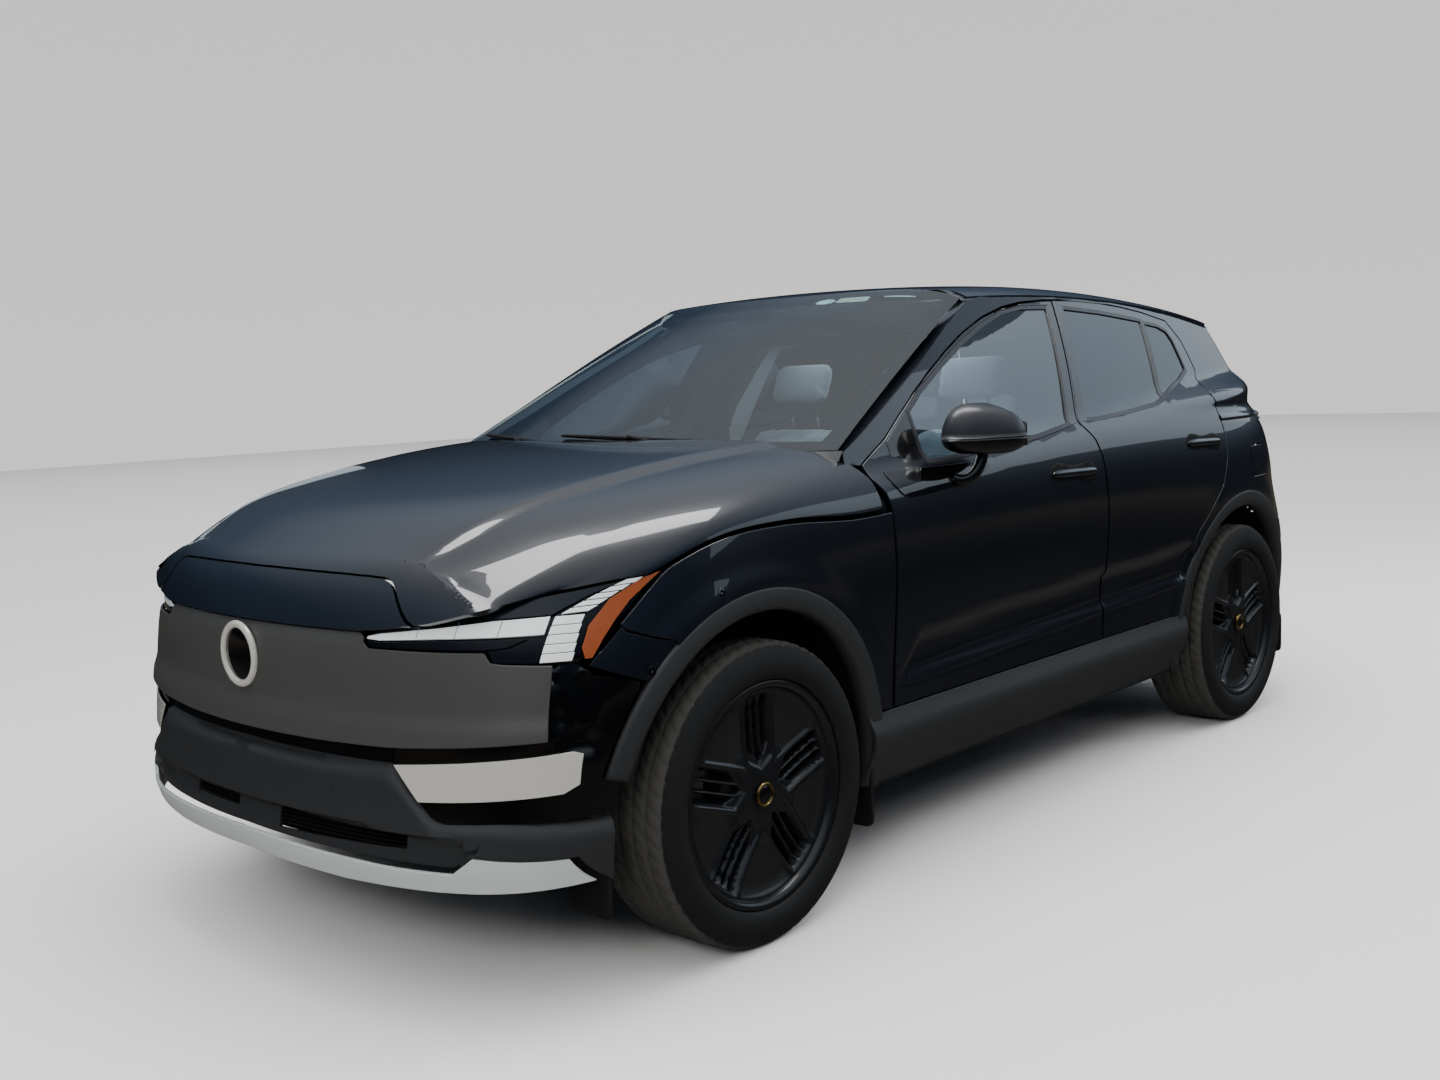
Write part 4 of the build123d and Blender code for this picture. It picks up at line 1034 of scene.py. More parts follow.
FLAP = [(-1590, 892), (-1462, 892), (-1462, 1000), (-1590, 1000)]
for name, sign in SIDES:
    flap_hole = [grown(FLAP, 3, 3)] if sign > 0 else []
    piece("rear_quarter_skin_" + name, *trimmed(BODY, quarter_outline(), 16, flap_hole), PAINT,
          replaces=["quarter_" + name], thick=12, round_mm=3, sign=sign)
piece("charge_flap_skin", *trimmed(BODY, offset(FLAP, 1), 10), PAINT, body="charge_flap",
      replaces=["charge_flap"], thick=7, round_mm=2)
pocket = trimmed(lifted(lower_side, -32), grown(FLAP, 5, 5), 20)
piece("charge_pocket", *pocket, CHARCOAL, away=(0, 400, 900))

PILLAR = [(836, 1120), (700, 1185), (560, 1255), (400, 1338), (200, 1443), (30, 1521)]


def upper_side():
    """Painted A-pillar and cant rail outside the doors, and the rear pillar down to the quarter panel."""
    roof_edge = [(x, float(roof_by_x(x)) - 66) for x in (-200, -500, -900, -1300, -1655)]
    top = PILLAR + [(-60, 1536)] + roof_edge
    path = [(-470, 1533), (-483, 1533), (-627, 1533), (-807, 1527), (-964, 1515), (-1111, 1498),
            (-1290, 1468), (-1346, 1393), (-1358, 1281), (-1281, 1193), (-1268, 1084)]
    lower = [(785, 1086), (658, 1152), (569, 1209), (468, 1269), (373, 1319), (250, 1378), (127, 1430),
             (-11, 1475), (-145, 1506), (-272, 1523), (-418, 1532)]
    tail_edge = [(-1790, 1086), (-1722, 1200), (-1668, 1440)]
    outline = [(842, 1090)] + top + tail_edge[::-1] + path[::-1] + lower[::-1]
    pair("upper_side_skin", *trimmed(lifted(side, 1.0), outline, 16), PAINT, thick=2, round_mm=0.8)


upper_side()
for name, sign in SIDES:
    nodes["body_side_" + name].data.materials.clear()
    nodes["body_side_" + name].data.materials.append(PAINT)


def roof_panels():
    """Black glass roof, its painted side rails following the cant rail, and the gap between them."""
    x = np.linspace(0, 1, 44)[:, None]
    y = np.linspace(-548, 548, 41)[None]
    front = 221 - 195 * (y / 645) ** 2
    u = front + (-1655 - front) * x
    grid = np.stack([u, y + 0 * x, roof_z(u, y + 0 * x)], -1)
    piece("glass_roof", *sheet(grid), GLOSS_BLACK, replaces=["roof"], thick=6, round_mm=2)
    x = np.linspace(30, -1655, 60)[:, None]
    t = np.linspace(0, 1, 14)[None]
    outer = np.minimum(glass_y(x, roof_by_x(x) - 66), 640)
    y = 553 + (outer - 553) * t
    z = roof_z(x, np.minimum(y, 600)) * (1 - t ** 3) + (roof_by_x(x) - 66) * t ** 3
    rail = np.stack([x + 0 * t, y, z], -1)
    pair("roof_rail_skin", *sheet(rail), PAINT, thick=4, round_mm=1.5)
    under = grid[::2, ::2] - (0, 0, 34)
    piece("headliner", *sheet(under), HEADLINER, away=(-600, 0, 3000))


roof_panels()


def windscreen_at(s, t, rise):
    """Point of the windscreen; s runs from 0 at its foot to 1 at the roof, and t from -1 to 1 across."""
    base = np.stack([1035 - 200 * t * t, 800 * t, 1128 + 0 * t], -1)
    top_x = 225 - 195 * t * t
    top = np.stack([top_x, 645 * t, roof_z(top_x, 645 * t)], -1)
    bulge = 34 * 4 * s * (1 - s) * (1 - 0.8 * t * t) + rise
    return base * (1 - s[..., None]) + top * s[..., None] + bulge[..., None] * np.array([0.48, 0, 0.88])


def windscreen_grid(s0=0.0, s1=1.0, side_share=1.0, rows=30, columns=50, sink=0.0):
    """Curved glass between the cowl line and the roof's front edge, bulging forward in its middle."""
    s, t = np.meshgrid(np.linspace(s0, s1, rows), np.linspace(-side_share, side_share, columns),
                       indexing="ij")
    return windscreen_at(s, t, -sink)


def windscreen():
    """Windscreen with the dark band along its edges."""
    piece("windscreen_glass", *sheet(windscreen_grid(side_share=0.985)), WINDSHIELD_GLASS,
          replaces=["windshield"])
    for tag, args in (("top", (0.955, 1.0, 0.985)), ("bottom", (0.0, 0.05, 0.985))):
        piece(f"windscreen_{tag}_band", *sheet(windscreen_grid(*args, 6, 50, 2)), DARK)
    for name, t0, t1 in (("left", 0.945, 0.985), ("right", -0.985, -0.945)):
        g = windscreen_grid(0, 1, 1, 40, 201, 2)
        t = np.linspace(-1, 1, 201)
        keep = (t >= t0) & (t <= t1)
        piece(f"windscreen_{name}_band", *sheet(g[:, keep]), DARK)


windscreen()


# ---- wheels ----

def tread_depth(a, y):
    """Depth of the tread below its crown: four grooves round the tyre and sipes across, slanted at the
    shoulders."""
    groove = sum(8.0 * bell(y, g, 4.2) for g in (-62, -22, 22, 62))
    pitch = a * 60 / (2 * np.pi) + 0.02 * np.abs(y) * np.sign(y)
    cut = np.abs(((pitch + 0.5) % 1) - 0.5) < 0.085
    rib = ((np.abs(y) > 66) & (np.abs(y) < 118)) | (np.abs(y) < 17) | ((np.abs(y) > 27) & (np.abs(y) < 57))
    return groove + 4.5 * cut * rib


def tyre(axle, end):
    """Tyre section turned round its axle, with tread and a smooth sidewall."""
    near_groove = [g + d for g in (-62, -22, 22, 62) for d in (-7, -4, -1.5, 1.5, 4, 7)]
    between = [k * e for e in (35, 42, 49, 74, 84, 92, 99, 104) for k in (-1, 1)]
    y = np.array(sorted(near_groove + between + [-7, 0, 7]))
    crown = 359 - 1.6 * (y / 90) ** 2 - 9.5 * step((np.abs(y) - 88) / 20)
    side_r = np.array([340, 330, 318, 305, 292, 282, 275, 270, 268.5])
    side_y_ = np.array([110.5, 114, 117.5, 119.6, 119.2, 116.5, 113, 109, 104])
    r = np.concatenate([side_r[::-1], crown, side_r])
    w = np.concatenate([-side_y_[::-1], y, side_y_])
    a = np.linspace(0, 2 * np.pi, 360, endpoint=False)[:, None]
    n_side = len(side_r)
    depth = np.zeros((360, len(r)))
    depth[:, n_side:-n_side] = tread_depth(a, y[None])
    radius = r - depth
    for side_name, sign in SIDES:
        grid = np.stack([axle + radius * np.cos(a), TRACK + w + 0 * a, TYRE_R + radius * np.sin(a)], -1)
        made = piece(f"{end}_tyre_rubber_{side_name}", *banded(grid), RUBBER,
                     body=f"{end}_wheel_{side_name}", slot="tyre", replaces=[f"{end}_tyre_{side_name}"],
                     sign=sign, away=(axle, TRACK, TYRE_R))
        made.data.materials.append(TREAD)
        index = np.zeros((360, len(r) - 1), int)
        index[:, n_side:-n_side] = 1
        made.data.polygons.foreach_set("material_index", index.ravel().astype(np.int32))


def face_height(r, a):
    """Outboard height of the wheel's face, where it is open, and where it is inlaid: five sunk fields of
    three parallel slots, with ridges beside them and a flat inlay between each two."""
    turn = 2 * np.pi / 5
    lobe = np.mod(a - np.pi / 2 + turn / 2, turn) - turn / 2  # angle from the nearest field's middle
    out, across = r * np.cos(lobe), np.abs(r * np.sin(lobe))
    field = step((out - 58 - 0.55 * across) / 5) * step((43 - across) / 4) * step((238 - r) / 4)
    slot_at = np.minimum(np.abs(across - 26), across)
    slot = field * step((10.6 - slot_at) / 2) * step((out - 68 - 1.25 * across) / 5) * step((233 - r) / 4)
    ridge = 3 * bell(across, 49, 5) * step((out - 60) / 20) * step((236 - r) / 8)
    inlay = step((across - 55) / 2) * step((239 - r) / 3) * step((r - 116) / 4)
    dish = -4 - 9 * step((r - 40) / 120) * step((250 - r) / 40)
    return dish + ridge - 7 * field - 24 * slot - 2.5 * inlay, slot > 0.8, inlay > 0.9


def rim(axle, end):
    """Barrel and flange as a turned profile, and the face as a height field over polar coordinates."""
    r = np.concatenate([np.linspace(20, 56, 4), np.linspace(60, 242, 40), np.linspace(245, 252, 2)])
    a = np.linspace(0, 2 * np.pi, 400, endpoint=False)
    aa, rr = np.meshgrid(a, r, indexing="ij")
    height, opening, inlay = face_height(rr, aa)
    face_y = TRACK + 94 + height + 0 * rr
    grid = np.stack([axle + rr * np.cos(aa), face_y, TYRE_R + rr * np.sin(aa)], -1)
    faces = quads(400, len(r), close_rows=True)
    shut = ~(opening.ravel()[faces].all(1))
    flat = inlay.ravel()[faces].all(1)
    section = [(249, 96), (253, 103.5), (260, 105.5), (266, 105), (268, 102), (268, 95), (262, 92),
               (259, 84), (246, 70), (244, 20), (246, -88), (258, -94), (262, -104), (268, -106),
               (268, -102)]
    barrel = turned([(b, c) for b, c in section], 120, (axle, TRACK, TYRE_R))
    inside = turned([(249, 96), (240, 78), (238, 20), (240, -90), (254, -106)], 120, (axle, TRACK, TYRE_R))
    cap = turned([(0.01, 99), (16, 99), (21, 97.6), (22, 96)], 48, (axle, TRACK, TYRE_R))
    ring = turned([(22, 94), (22.5, 99.5), (25, 101), (28, 100), (29.5, 95)], 48, (axle, TRACK, TYRE_R))
    disc = turned([(62, -16), (165, -16), (166, -27), (165, -38), (62, -38)], 90, (axle, TRACK, TYRE_R))
    bell_ = turned([(40, -8), (74, -8), (78, -14), (78, -30)], 60, (axle, TRACK, TYRE_R))
    for side_name, sign in SIDES:
        body = f"{end}_wheel_{side_name}"
        spin = (axle, TRACK - 200, TYRE_R)
        made = piece(f"{end}_wheel_face_{side_name}", grid.reshape(-1, 3), faces[shut], RIM_BLACK,
                     body=body, replaces=[f"{end}_rim_{side_name}"], sign=sign, away=spin)
        made.data.materials.append(PETAL)
        made.data.polygons.foreach_set("material_index", flat[shut].astype(np.int32))
        for tag, g, mat, slot, away in (
                ("rim_barrel", barrel, RIM_BLACK, "rim", (axle, TRACK, TYRE_R)),
                ("rim_inside", inside, RIM_BLACK, "rim", (axle, TRACK, TYRE_R)),
                ("wheel_cap", cap, GLOSS_BLACK, "rim", spin), ("cap_ring", ring, BRONZE, "rim", spin),
                ("brake_disc", disc, IRON, "iron", (axle, TRACK - 27, TYRE_R)),
                ("disc_bell", bell_, IRON, "iron", (axle, TRACK - 60, TYRE_R))):
            piece(f"{end}_{tag}_{side_name}", *banded(g), mat, body=body, slot=slot, sign=sign, away=away)


for axle, end in ((FRONT_AXLE, "front"), (REAR_AXLE, "rear")):
    tyre(axle, end)
    rim(axle, end)


# ---- door mirrors ----

def smooth_loop(points, n):
    """n points on a rounded closed curve through the given ones, by cutting corners three times."""
    p = np.array(points, float)
    for _ in range(3):
        q = np.roll(p, -1, axis=0)
        p = np.stack([0.75 * p + 0.25 * q, 0.25 * p + 0.75 * q], 1).reshape(-1, 2)
    p = np.concatenate([p, p[:1]])
    s = np.concatenate([[0], np.cumsum(np.hypot(*np.diff(p, axis=0).T))])
    t = np.linspace(0, s[-1], n, endpoint=False)
    return [(float(x), float(z)) for x, z in zip(np.interp(t, s, p[:, 0]), np.interp(t, s, p[:, 1]))]


MIRROR_PLAN = [(496, 858), (428, 848), (300, 864), (286, 884), (284, 996), (300, 1018), (346, 1016),
               (464, 956), (500, 898)]


def mirror_shell(up, down, lift):
    """A pillow over the mirror's plan outline: up and down are its heights above and below the seam at
    1135, and its top falls towards the outer end. lift moves the whole surface out."""
    plan = np.array(smooth_loop(MIRROR_PLAN, 48))
    middle = np.array([372, 938])
    q = 1 - np.linspace(1, 0, 18) ** 1.6 + 0.001
    rise = np.clip(1 - (q - 0.001) ** 3.4, 0, 1) ** 0.55
    rows = []
    for height, order in ((up, range(18)), (-down, range(17, -1, -1))):
        for i in order:
            p = middle + (plan - middle) * (q[i] + lift * 0.008)
            fall = 1 - 0.46 * np.clip((p[:, 1] - 880) / 150, 0, 1) ** 1.2
            z = 1135 + height * rise[i] * (fall if height > 0 else 1) + lift * np.sign(height)
            rows.append(np.concatenate([p, np.broadcast_to(z, (48,))[:, None]], 1))
    return np.array(rows)


def mirrors():
    """Housing in two halves with a seam between, foot arm, base plate and glass."""
    top, seam = mirror_shell(100, 0.1, 0), mirror_shell(20, 20, -1.5)
    low = mirror_shell(0.1, 43, 0) - (0, 0, 3)
    path = np.array([(452, 868, 1030), (440, 888, 1022), (425, 908, 1028), (405, 921, 1050),
                     (390, 926, 1080), (384, 926, 1104)])
    path = np.stack([through(*zip(range(6), path[:, k]))(np.linspace(0, 5, 30)) for k in range(3)], -1)
    arm = tube(path, np.linspace(17, 15, 30), 16)
    plate = curve([(724, 1064), (722, 1030), (700, 1004), (650, 995), (544, 1000), (440, 1010), (381, 1020),
                   (300, 1040), (272, 1056), (300, 1064)], 40)
    y, z = np.meshgrid(np.linspace(884, 1006, 12), np.linspace(0, 1, 12), indexing="ij")
    lens = np.stack([0 * y + 289, y, 1108 + z * (96 - 0.28 * (y - 884))], -1)
    middle = (370, 945, 1150)
    door = "front_door_"
    pair("mirror_cap", *stacked(top), MIRROR_CAP, door, "paint", ["door_mirror_"], away=middle)
    pair("mirror_underside", *stacked(low), GLOSS_BLACK, door, away=middle)
    pair("mirror_seam", *stacked(seam), DARK, door, "gloss_black", away=middle)
    pair("mirror_arm", *stacked(arm), GLOSS_BLACK, door, away=(500, 860, 1100))
    pair("mirror_base", *trimmed(lifted(side, 2.5), plate, 10), GLOSS_BLACK, door, thick=4, round_mm=1.5)
    pair("mirror_glass", *sheet(lens), MIRROR, door, away=(400, 940, 1150))


mirrors()


# ---- rear end ----

def tailgate_relief(u, v):
    """Plate recess across the middle, and a raised ledge above it."""
    flat = np.abs(np.sin(u / 1000)) * 800
    recess = step((290 - flat) / 14) * step((v - 752) / 10) * step((868 - v) / 10)
    ledge = 6 * bell(v, 905, 22) * step((560 - flat) / 60)
    return ledge - 14 * recess


def rear_end():
    """Tailgate with its glass, painted lower skin and black upper panel; lamps, bumper and skid plate."""
    window = mirrored([(0, 1160), (570, 1160), (553, 1235), (514, 1420), (484, 1436), (0, 1436)])
    hole = wrapped(window, True)
    gate = mirrored([(0, 711), (652, 711), (652, 1075), (603, 1150), (557, 1300), (530, 1449), (0, 1449)])
    piece("tailgate_skin", *trimmed(lifted(tail, tailgate_relief), wrapped(gate, True), 20, [hole]),
          PAINT, body="tailgate", replaces=["tailgate"], thick=14, round_mm=3)
    upper = mirrored([(0, 938), (655, 938), (655, 1075), (606, 1148), (572, 1158), (0, 1158)])
    piece("tailgate_black_panel", *trimmed(lifted(tail, 1.2), wrapped(grown(upper, -6, -2), True), 24),
          GLOSS_BLACK, body="tailgate", thick=2, round_mm=0.8)
    piece("rear_window_glass", *trimmed(lifted(tail, -4), hole, 24), PRIVACY_GLASS, body="tailgate",
          replaces=["rear_window"])
    inner = mirrored([(0, 722), (640, 722), (640, 1072), (590, 1150), (570, 1160), (0, 1160)])
    piece("tailgate_trim", *trimmed(lifted(tail, -46), wrapped(inner, True), 26), TRIM, body="tailgate",
          away=(-5000, 0, 900))
    frame_out = mirrored([(0, 1120), (590, 1120), (575, 1235), (532, 1435), (505, 1446), (0, 1446)])
    frame_in = mirrored([(0, 1172), (552, 1172), (540, 1230), (500, 1408), (476, 1420), (0, 1420)])
    piece("rear_window_frame", *strip(lifted(tail, -9), wrapped(frame_out, True, 40),
                                      wrapped(frame_in, True, 40)), DARK, body="tailgate", thick=3)
    plate = mirrored([(0, 764), (255, 764), (255, 856), (0, 856)])
    piece("plate_blank", *trimmed(lifted(tail, -11), wrapped(plate, True), 20), SILVER, body="tailgate",
          thick=2, round_mm=1)
    x = np.linspace(0, 1, 12)[:, None]
    y = np.linspace(-556, 556, 60)[None]
    top = np.stack([-1668 - 176 * x + 0 * y, y + 0 * x, roof_z(-1668 - 176 * x, y) - 7 * x], -1)
    under_z = 1459 + 6 * x + (roof_z(-1844, y) - 1486) * (1 - x)
    low = np.stack([-1842 + 176 * x + 0 * y, y + 0 * x, under_z], -1)
    loop = np.concatenate([top, low], 0)
    piece("roof_spoiler_skin", *banded(capped_sides(loop)), PAINT, body="tailgate",
          replaces=["roof_spoiler"], away=(-1760, 0, 1478))
    region = wrapped([(668, 874), (780, 874)], True, ring=False)
    region += wrapped_x([(-1896, 874), (-1896, 1079)], True, ring=False)
    region += wrapped([(780, 1079), (668, 1079)], True, ring=False)
    pair("tail_lamp_housing", *trimmed(lifted(tail, -14), region, 14), GLOSS_BLACK, slot="red_lamp",
         replaces=["tail_lamps"], thick=4)
    bar_outline = wrapped([(676, 882), (812, 882), (812, 900), (712, 902), (712, 1052), (812, 1054),
                           (812, 1072), (676, 1072)], True, 10)
    pair("tail_lamp_light", *trimmed(lifted(tail, -1), bar_outline, 10), RED, thick=10, round_mm=2)
    upper_lamp = wrapped([(622, 1150), (640, 1150), (596, 1296), (578, 1296)], True, 12)
    pair("tail_lamp_upper", *trimmed(lifted(tail, 5), upper_lamp, 10), RED, thick=6, round_mm=1.5)
    side_edge = wrapped_x([(-1793, 700), (-1800, 560), (-1812, 430), (-1802, 262)], True, ring=False)
    def bumper_lift(u, v):
        return -5 * step((v - 560) / 60) * step((640 - v) / 60) - 4 * step((330 - v) / 40)
    lower = [(0, 370), (u_at(622, 370), 370), (u_at(628, 300), 300), (u_at(640, 250), 250)]
    outline = [(0, 701)] + side_edge + lower[::-1]
    outline = outline + [(-u, v) for u, v in outline[::-1] if u > 0]
    piece("rear_bumper_skin", *trimmed(lifted(tail, bumper_lift), outline, 20), CHARCOAL,
          replaces=["rear_bumper"], thick=12, round_mm=3)
    skid = mirrored([(0, 251), (612, 251), (618, 300), (600, 364), (0, 364)])
    piece("rear_skid_skin", *trimmed(lifted(tail, -2), wrapped(skid, True), 20), SILVER,
          replaces=["rear_skid_plate"], thick=10, round_mm=3)
    reflector = wrapped([(600, 520), (720, 520), (716, 552), (604, 552)], True)
    pair("rear_reflector", *trimmed(lifted(tail, 2), reflector, 8), RED, thick=4, round_mm=1.5)


def u_at(y, z):
    """Tail outline parameter where it is y wide at height z."""
    angles = np.linspace(0, np.pi / 2, 721)
    return float(np.interp(y, corner_point(angles, z, True)[:, 1], angles)) * 1000


def capped_sides(loop):
    """Closes a swept band's two ends by pulling extra end columns to their middle."""
    first = np.repeat(loop[:, :1].mean(0, keepdims=True), loop.shape[0], 0)
    last = np.repeat(loop[:, -1:].mean(0, keepdims=True), loop.shape[0], 0)
    return np.concatenate([first, loop, last], 1)


def rear_corners():
    """Painted corner below each lamp, and the rear pillar rounded from the tailgate's edge to the side."""
    z = np.linspace(1084, 1456, 28)
    gate_y = np.interp(z, [1075, 1150, 1300, 1456], [658, 610, 564, 535])
    edge = np.stack([tail(np.array(u_at(a, b)), np.array(b)) for a, b in zip(gate_y, z)])
    x = np.interp(z, [1086, 1200, 1440], [-1790, -1722, -1668])
    flank = side(x, z)
    corner_x = 0.95 * edge[:, 0] + 0.05 * flank[:, 0]
    corner = np.stack([corner_x, 0.94 * flank[:, 1] + 0.06 * edge[:, 1], z], -1)
    t = np.linspace(0, 1, 18)[None, :, None]
    pillar = edge[:, None] * (1 - t) ** 2 + 2 * corner[:, None] * t * (1 - t) + flank[:, None] * t ** 2
    low = wrapped([(664, 705), (780, 705)], True, ring=False)
    low += wrapped_x([(-1890, 705), (-1890, 866)], True, ring=False)
    low += wrapped([(780, 866), (664, 866)], True, ring=False)
    pair("rear_pillar_skin", *sheet(pillar), PAINT, thick=8, round_mm=1.5)
    pair("rear_corner_skin", *trimmed(tail, low, 14), PAINT, thick=8, round_mm=2)


rear_end()
rear_corners()


# ---- cabin ----

def swept(profile, y0, y1, columns, crown=0.0, tuck=0.0):
    """A closed (x, z) profile carried across the car with flat ends; crown pushes its middle forward, and
    tuck draws its ends in."""
    p = np.array(profile, float)
    t = np.linspace(-1, 1, columns)[None]
    centre = p.mean(0)
    shrink = 1 - tuck * np.abs(t) ** 6
    x = centre[0] + (p[:, :1] - centre[0]) * shrink - crown * t ** 2
    z = centre[1] + (p[:, 1:] - centre[1]) * shrink
    grid = np.stack([x, (y0 + y1) / 2 + (y1 - y0) / 2 * t + 0 * x, z], -1)
    return capped_sides(grid)


def dashboard():
    """Dashboard with its pale band, sound bar and screen; console, armrest, vents and steering column."""
    profile = smooth_loop([(898, 740), (900, 1038), (800, 1062), (600, 1052), (556, 1018), (566, 930),
                           (640, 780), (700, 740)], 60)
    piece("dashboard_pad", *banded(swept(profile, -652, 652, 60, 0, 0.02)), TRIM, replaces=["dashboard"],
          away=(740, 0, 900))
    band = smooth_loop([(556, 955), (556, 1000), (548, 1000), (548, 955)], 24)
    piece("dashboard_band", *banded(swept(band, -600, 600, 30)), TRIM_LIGHT, away=(552, 0, 978))
    bar_profile = smooth_loop([(790, 1052), (790, 1074), (842, 1066), (842, 1046)], 24)
    piece("sound_bar", *banded(swept(bar_profile, -560, 560, 30)), CARPET, away=(816, 0, 1060))
    screen = rounded((528, -96, 862), (552, 96, 1118), 8, 16, 48)
    tilt = Matrix.Rotation(np.radians(-8), 3, "Y")
    screen = (screen - (540, 0, 990)) @ np.array(tilt).T + (540, 0, 990)
    piece("touch_screen", *stacked(screen), GLOSS_BLACK, away=(540, 0, 990))
    console = smooth_loop([(-330, 362), (-330, 590), (300, 598), (380, 560), (560, 560), (560, 362)], 50)
    piece("centre_console", *banded(swept(console, -104, 104, 14)), TRIM, away=(100, 0, 480))
    lid = rounded((-250, -92, 590), (60, 92, 622), 6, 12, 40)
    piece("armrest_lid", *stacked(lid), TRIM_LIGHT, away=(-95, 0, 600))
    vent = rounded((546, 520, 1000), (560, 600, 1024), 6, 10, 30)
    pair("vent", *stacked(vent), SILVER, away=(553, 560, 1012))
    column = tube([(600, 372, 830), (520, 372, 865), (452, 372, 896)], 43, 24)
    piece("column_shroud", *stacked(column), TRIM, away=(520, 372, 865))


dashboard()


def steering_wheel():
    """Squared-off rim on a leaning axis, with a pad and two spokes."""
    lean = np.radians(-66)
    ahead = np.array([np.cos(lean), 0, -np.sin(lean)])  # the wheel's own x axis in the car
    across, axis = np.array([0, 1.0, 0]), np.array([np.sin(lean), 0, np.cos(lean)])
    centre = np.array([430, 372, 905.0])

    def place(x, y, z):
        return centre + x[..., None] * ahead + y[..., None] * across + z[..., None] * axis
    a = np.linspace(0, 2 * np.pi, 90, endpoint=False)[:, None]
    b = np.linspace(0, 2 * np.pi, 16, endpoint=False)[None]
    r = 175 * (np.abs(np.cos(a)) ** 3 + np.abs(np.sin(a)) ** 3) ** (-1 / 3) * 0.93
    ring = r + 14.5 * np.cos(b)
    rim_grid = place(ring * np.cos(a), ring * np.sin(a), 13 * np.sin(b) + 0 * a)
    piece("steering_rim", *sheet(rim_grid, True, True), TRIM, body="steering_wheel",
          replaces=["steering_wheel"], away=tuple(centre))
    pad = rounded((-62, -72, -30), (58, 72, 16), 4, 18, 40)
    piece("steering_pad", *stacked(place(pad[..., 0], pad[..., 1], pad[..., 2])), TRIM,
          body="steering_wheel", away=tuple(centre))
    for k, (lo, hi) in enumerate([((-22, 60, -16), (22, 166, 4)), ((-22, -166, -16), (22, -60, 4)),
                                  ((-160, -30, -16), (-50, 30, 2))]):
        spoke = rounded(lo, hi, 5, 12, 28)
        middle = tuple(place(*np.mean([lo, hi], 0)))
        piece(f"steering_spoke_{k}", *stacked(place(spoke[..., 0], spoke[..., 1], spoke[..., 2])),
              GLOSS_BLACK, body="steering_wheel", slot="trim", away=middle)


steering_wheel()


def cabin_shell():
    """Carpet over the floor, pillar and roof-rail trim, parcel shelf, cargo lining and mirror pod."""
    x = np.linspace(700, -560, 50)[:, None]
    y = np.linspace(-660, 660, 40)[None]
    z = 358 + 0 * x + 0 * y + 60 * step((x - 560) / 120)
    piece("front_carpet", *sheet(np.stack([x + 0 * y, y + 0 * x, z], -1)), CARPET, away=(0, 0, -900))
    inside = [(836, 1060), (700, 1110), (560, 1196), (400, 1288), (200, 1400), (30, 1478), (-60, 1500),
              (-1500, 1440), (-1640, 1380)]
    edge = lifted(side, -86)
    p = np.array(curve(inside, 70))
    up = p + (0, 42)
    g = np.stack([edge(p[:, 0], p[:, 1]), edge(up[:, 0], np.minimum(up[:, 1], 1520))], 1)
    pair("rail_trim", *sheet(g), TRIM_LIGHT, away=(0, 3000, 1300))
    q = np.linspace(0, 1, 20)[:, None]
    w = np.linspace(-52, 52, 6)[None]
    px, pz = -330 - 165 * q + w, 700 + 800 * q + 0 * w
    g = lifted(side, -118)(px, pz)
    pair("pillar_trim", *sheet(g), TRIM_LIGHT, away=(-400, 3000, 1000))
    shelf = rounded((-1640, -540, 1086), (-1200, 540, 1104), 8, 12, 60)
    piece("parcel_shelf", *stacked(shelf), CARPET, away=(-1420, 0, 1095))
    x, y = np.meshgrid(np.linspace(-1880, -1150, 20), np.linspace(-600, 600, 20), indexing="ij")
    cargo = np.stack([x, y, 617 + 0 * x], -1)
    piece("cargo_carpet", *sheet(cargo), CARPET, away=(-1500, 0, -900))
    pod = rounded((150, -70, 1486), (236, 70, 1530), 3, 14, 40)
    piece("sensor_pod", *stacked(pod), GLOSS_BLACK, away=(200, 0, 1510))
    mirror = rounded((128, -118, 1418), (152, 118, 1482), 5, 14, 48)
    piece("cabin_mirror", *stacked(mirror), GLOSS_BLACK, away=(140, 0, 1450))


cabin_shell()


# ---- seats ----

def puffed(made, voxel_mm, cap_mm):
    """Swells a cushion from inside with cloth pressure on an even mesh, keeps each point within cap_mm of
    where it began, and applies the result."""
    even = made.modifiers.new("even", "REMESH")
    even.mode, even.voxel_size = "VOXEL", voxel_mm * MM
    mesh = bpy.data.meshes.new_from_object(made.evaluated_get(bpy.context.evaluated_depsgraph_get()))
    made.modifiers.remove(even)
    made.data = mesh
    start = np.empty(len(mesh.vertices) * 3, np.float32)
    mesh.vertices.foreach_get("co", start)
    cloth = made.modifiers.new("cloth", "CLOTH")
    cloth.settings.use_pressure = True
    cloth.settings.uniform_pressure_force = 4
    cloth.settings.effector_weights.gravity = 0
    for frame_number in range(1, 21):
        bpy.context.scene.frame_set(frame_number)
    swollen = bpy.data.meshes.new_from_object(made.evaluated_get(bpy.context.evaluated_depsgraph_get()))
    after = np.empty(len(start), np.float32)
    swollen.vertices.foreach_get("co", after)
    made.modifiers.remove(cloth)
    bpy.data.meshes.remove(swollen)
    moved = (after - start).reshape(-1, 3)
    moved *= np.minimum(1, cap_mm * MM / np.maximum(np.linalg.norm(moved, axis=1, keepdims=True), 1e-9))
    mesh.vertices.foreach_set("co", start + moved.astype(np.float32).ravel())
    mesh.polygons.foreach_set("use_smooth", np.full(len(mesh.polygons), True))
    mesh.update()
    bpy.context.scene.frame_set(1)


